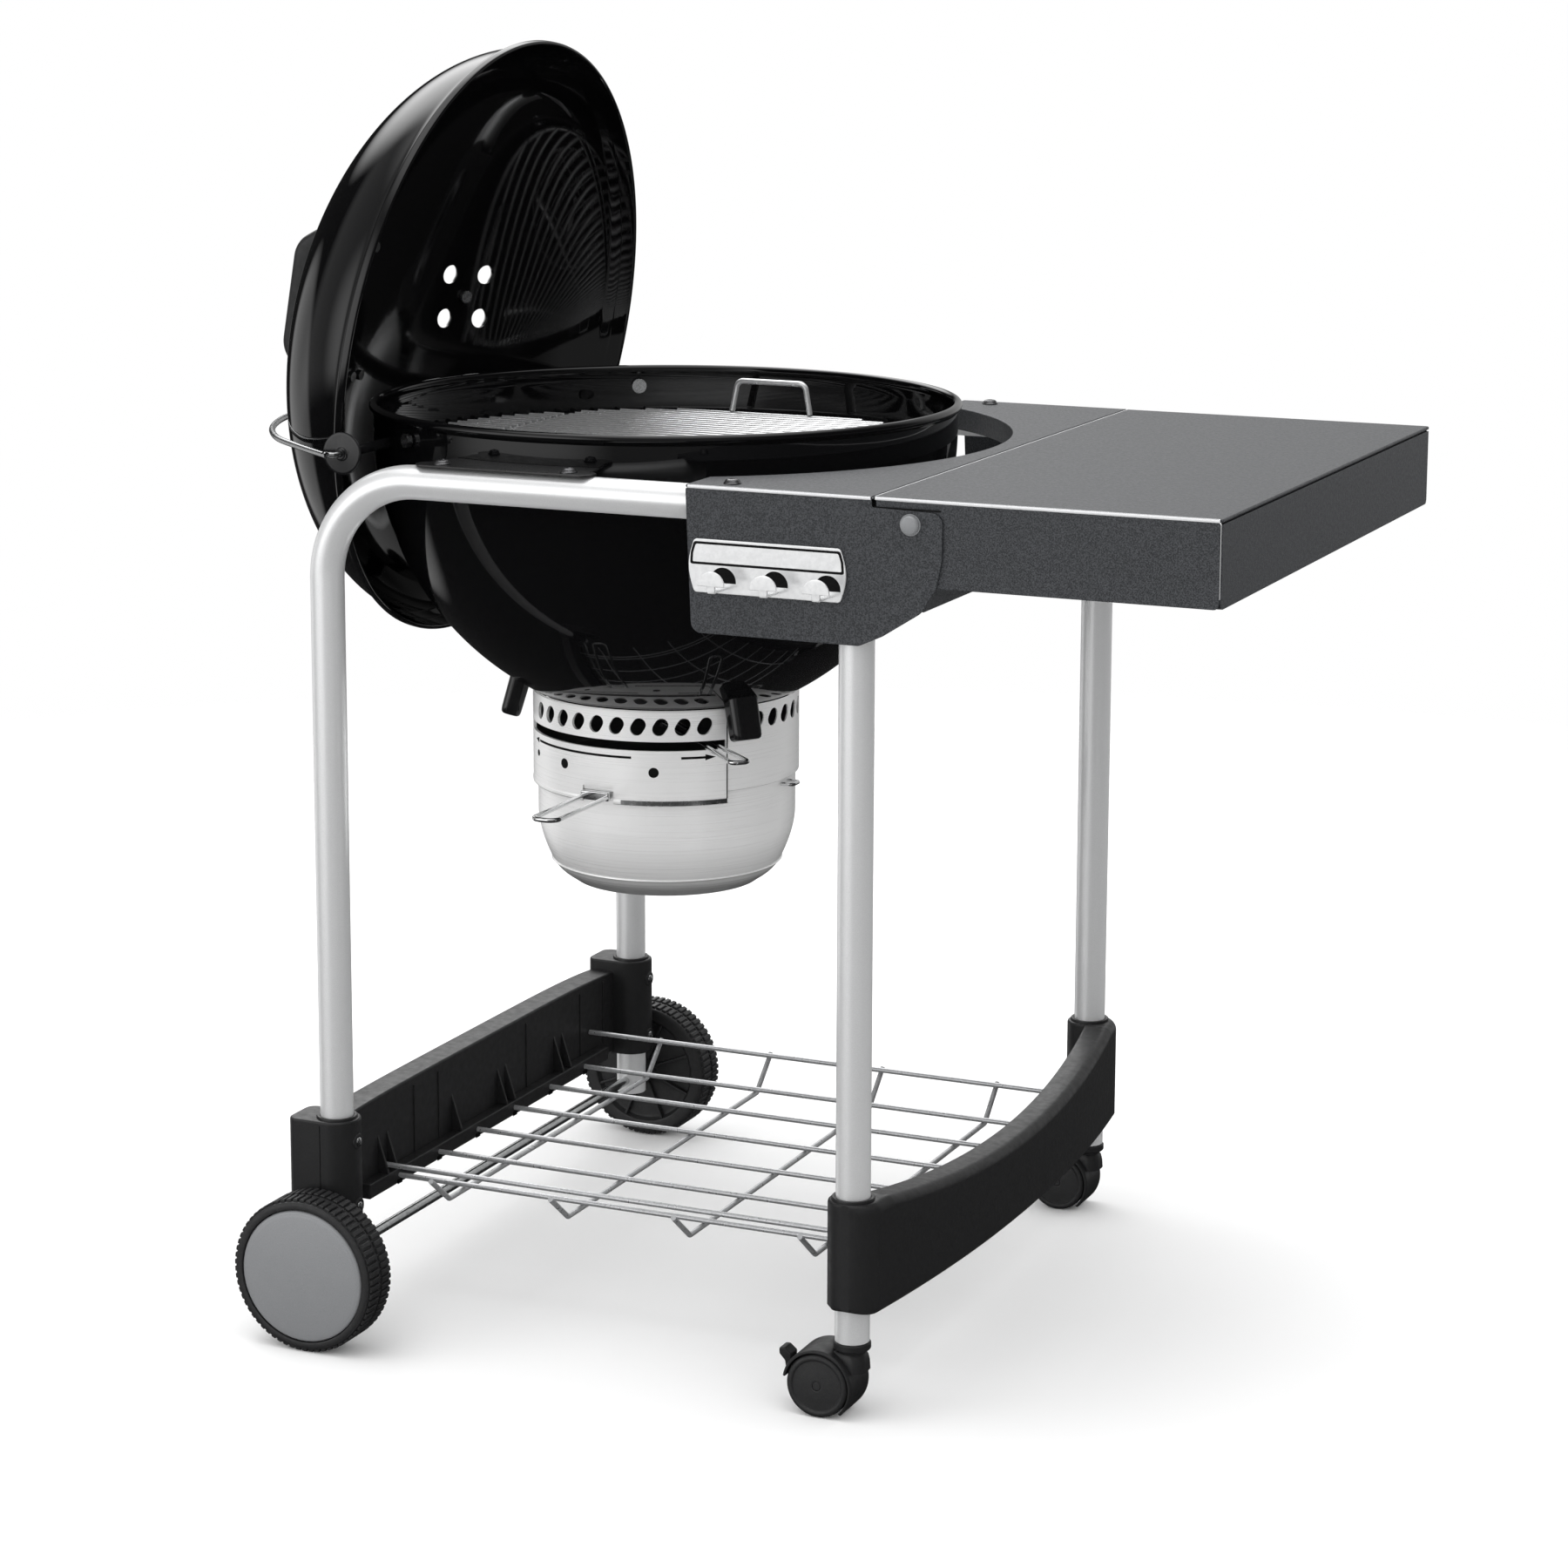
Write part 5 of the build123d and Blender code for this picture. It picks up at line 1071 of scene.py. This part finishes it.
# ------------------------------------------------------------- floor and light
fm = bpy.data.materials.new("pale_floor")
fm.use_nodes = True
nt = fm.node_tree
b = nt.nodes["Principled BSDF"]
b.inputs["Roughness"].default_value = 0.9
b.inputs["Specular IOR Level"].default_value = 0.0
nt.links.new(ramp(nt, noise(nt, 3.0), [(0.2, 0.95), (0.8, 0.965)]), b.inputs["Base Color"])
tc = nt.nodes.new("ShaderNodeTexCoord")
gr = nt.nodes.new("ShaderNodeTexGradient")
gr.gradient_type = "SPHERICAL"
mp = nt.nodes.new("ShaderNodeMapping")
mp.inputs["Scale"].default_value = (1 / 3.2, 1 / 3.2, 1.0)
nt.links.new(tc.outputs["Object"], mp.inputs["Vector"])
nt.links.new(mp.outputs["Vector"], gr.inputs["Vector"])
tr = nt.nodes.new("ShaderNodeBsdfTransparent")
mx = nt.nodes.new("ShaderNodeMixShader")
out = nt.nodes["Material Output"]
fade = ramp(nt, gr.outputs["Fac"], [(0.05, 0.0), (0.55, 1.0)])
nt.links.new(fade, mx.inputs["Fac"])
nt.links.new(tr.outputs["BSDF"], mx.inputs[1])
nt.links.new(b.outputs["BSDF"], mx.inputs[2])
nt.links.new(mx.outputs["Shader"], out.inputs["Surface"])
me = bpy.data.meshes.new("floor")
n = 96
me.from_pydata([(3.3 * cos(2 * pi * k / n), 3.3 * sin(2 * pi * k / n), 0.0) for k in range(n)], [], [tuple(range(n))])
me.materials.append(fm)
floor = bpy.data.objects.new("floor", me)
scene.collection.objects.link(floor)
floor.visible_glossy = False

world = bpy.data.worlds.new("studio")
scene.world = world
world.use_nodes = True
wt = world.node_tree
wt.nodes.clear()
lp_ = wt.nodes.new("ShaderNodeLightPath")
wtc = wt.nodes.new("ShaderNodeTexCoord")


def wmath(op, a, b_, clamp=False):
    n = wt.nodes.new("ShaderNodeMath")
    n.operation = op
    n.use_clamp = clamp
    for i, v in enumerate((a, b_)):
        if isinstance(v, (int, float)):
            n.inputs[i].default_value = v
        else:
            wt.links.new(v, n.inputs[i])
    return n.outputs["Value"]


def wstep(v, lo, hi, top):
    n = wt.nodes.new("ShaderNodeMapRange")
    n.interpolation_type = "SMOOTHSTEP"
    n.inputs["From Min"].default_value = lo
    n.inputs["From Max"].default_value = hi
    n.inputs["To Min"].default_value = 0.0
    n.inputs["To Max"].default_value = top
    wt.links.new(v, n.inputs["Value"])
    return n.outputs["Result"]


def toward(az, el):
    """How far a direction leans to a point of the studio, as a cosine."""
    n = wt.nodes.new("ShaderNodeVectorMath")
    n.operation = "DOT_PRODUCT"
    wt.links.new(wtc.outputs["Generated"], n.inputs[0])
    a, e = radians(az), radians(el)
    n.inputs[1].default_value = (cos(e) * cos(a), cos(e) * sin(a), sin(e))
    return n.outputs["Value"]


# what shiny surfaces mirror: dark below, soft panels round about
height = toward(0, 90)
lit = None
for az, el, wide, core, level in ((130, 38, 30, 8, 3.0), (80, 14, 40, 10, 0.26), (-121, 5, 40, 10, 1.4), (10, 5, 60, 20, -0.26), (147, 9, 34, 18, -0.36),
                                  (0, 90, 46, 15, 1.6)):
    v = wstep(toward(az, el), cos(radians(wide)), cos(radians(core)), level)
    lit = v if lit is None else wmath("ADD", lit, v)
lit = wmath("ADD", lit, 0.28)
lit = wmath("MULTIPLY", lit, wstep(height, -0.24, -0.07, 1.0))
# pale floor behind, seen at a flat angle
lit = wmath("ADD", lit, wstep(toward(160, -10), cos(radians(22)), cos(radians(16)), 0.55))
lit = wmath("MAXIMUM", wmath("ADD", lit, 0.02), 0.012)
bg_g = wt.nodes.new("ShaderNodeBackground")
bg_g.inputs["Color"].default_value = (1, 1, 1, 1)
wt.links.new(lit, bg_g.inputs["Strength"])
bg_d = wt.nodes.new("ShaderNodeBackground")
bg_d.inputs["Color"].default_value = (1, 1, 1, 1)
bg_d.inputs["Strength"].default_value = 1.18
bg_c = wt.nodes.new("ShaderNodeBackground")
bg_c.inputs["Color"].default_value = (1, 1, 1, 1)
bg_c.inputs["Strength"].default_value = 1.0
m1 = wt.nodes.new("ShaderNodeMixShader")
wt.links.new(lp_.outputs["Is Glossy Ray"], m1.inputs["Fac"])
wt.links.new(bg_d.outputs["Background"], m1.inputs[1])
wt.links.new(bg_g.outputs["Background"], m1.inputs[2])
m2 = wt.nodes.new("ShaderNodeMixShader")
wt.links.new(lp_.outputs["Is Camera Ray"], m2.inputs["Fac"])
wt.links.new(m1.outputs["Shader"], m2.inputs[1])
wt.links.new(bg_c.outputs["Background"], m2.inputs[2])
wo = wt.nodes.new("ShaderNodeOutputWorld")
wt.links.new(m2.outputs["Shader"], wo.inputs["Surface"])


def softbox(name, loc, target, w, h, level):
    """Area light whose surface shines at level; it lights, and the studio's panels are what is mirrored."""
    L = bpy.data.lights.new(name, "AREA")
    L.shape = "RECTANGLE"
    L.size, L.size_y = w, h
    L.energy = level * pi * w * h
    ob = bpy.data.objects.new(name, L)
    scene.collection.objects.link(ob)
    ob.location = loc
    d = Vector(target) - Vector(loc)
    ob.rotation_mode = "QUATERNION"
    ob.rotation_quaternion = d.to_track_quat("-Z", "Y")
    ob.visible_camera = False
    ob.visible_glossy = False
    return ob


softbox("overhead", (-0.4, -0.1, 3.6), (-0.1, 0.0, 0.0), 3.2, 3.2, 1.6)
softbox("left_key", (-2.9, -2.2, 1.7), (-0.1, 0.0, 0.6), 1.4, 1.8, 1.1)

# ---------------------------------------------------------------------- camera
cam_data = bpy.data.cameras.new("photo_view")
cam_data.sensor_fit = "AUTO"
cam_data.sensor_width = 36.0
cam_data.lens = 89.1454
cam_data.shift_x = 0.0
cam_data.shift_y = -0.10
cam_data.clip_end = 100
cam = bpy.data.objects.new("photo_view", cam_data)
scene.collection.objects.link(cam)
rt = Vector((0.91436, 0.404889, 0.003221)).normalized()
fw = Vector((-0.397837, 0.899858, -0.178832)).normalized()
upv = rt.cross(fw).normalized()
rt = fw.cross(upv).normalized()
rot = Matrix((rt, upv, -fw)).transposed()
cam.matrix_world = Matrix.Translation((1.63026 + KX / 1000, -3.40117, 1.33416)) @ rot.to_4x4()
scene.camera = cam
scene.view_settings.view_transform = "Standard"
scene.view_settings.look = "None"
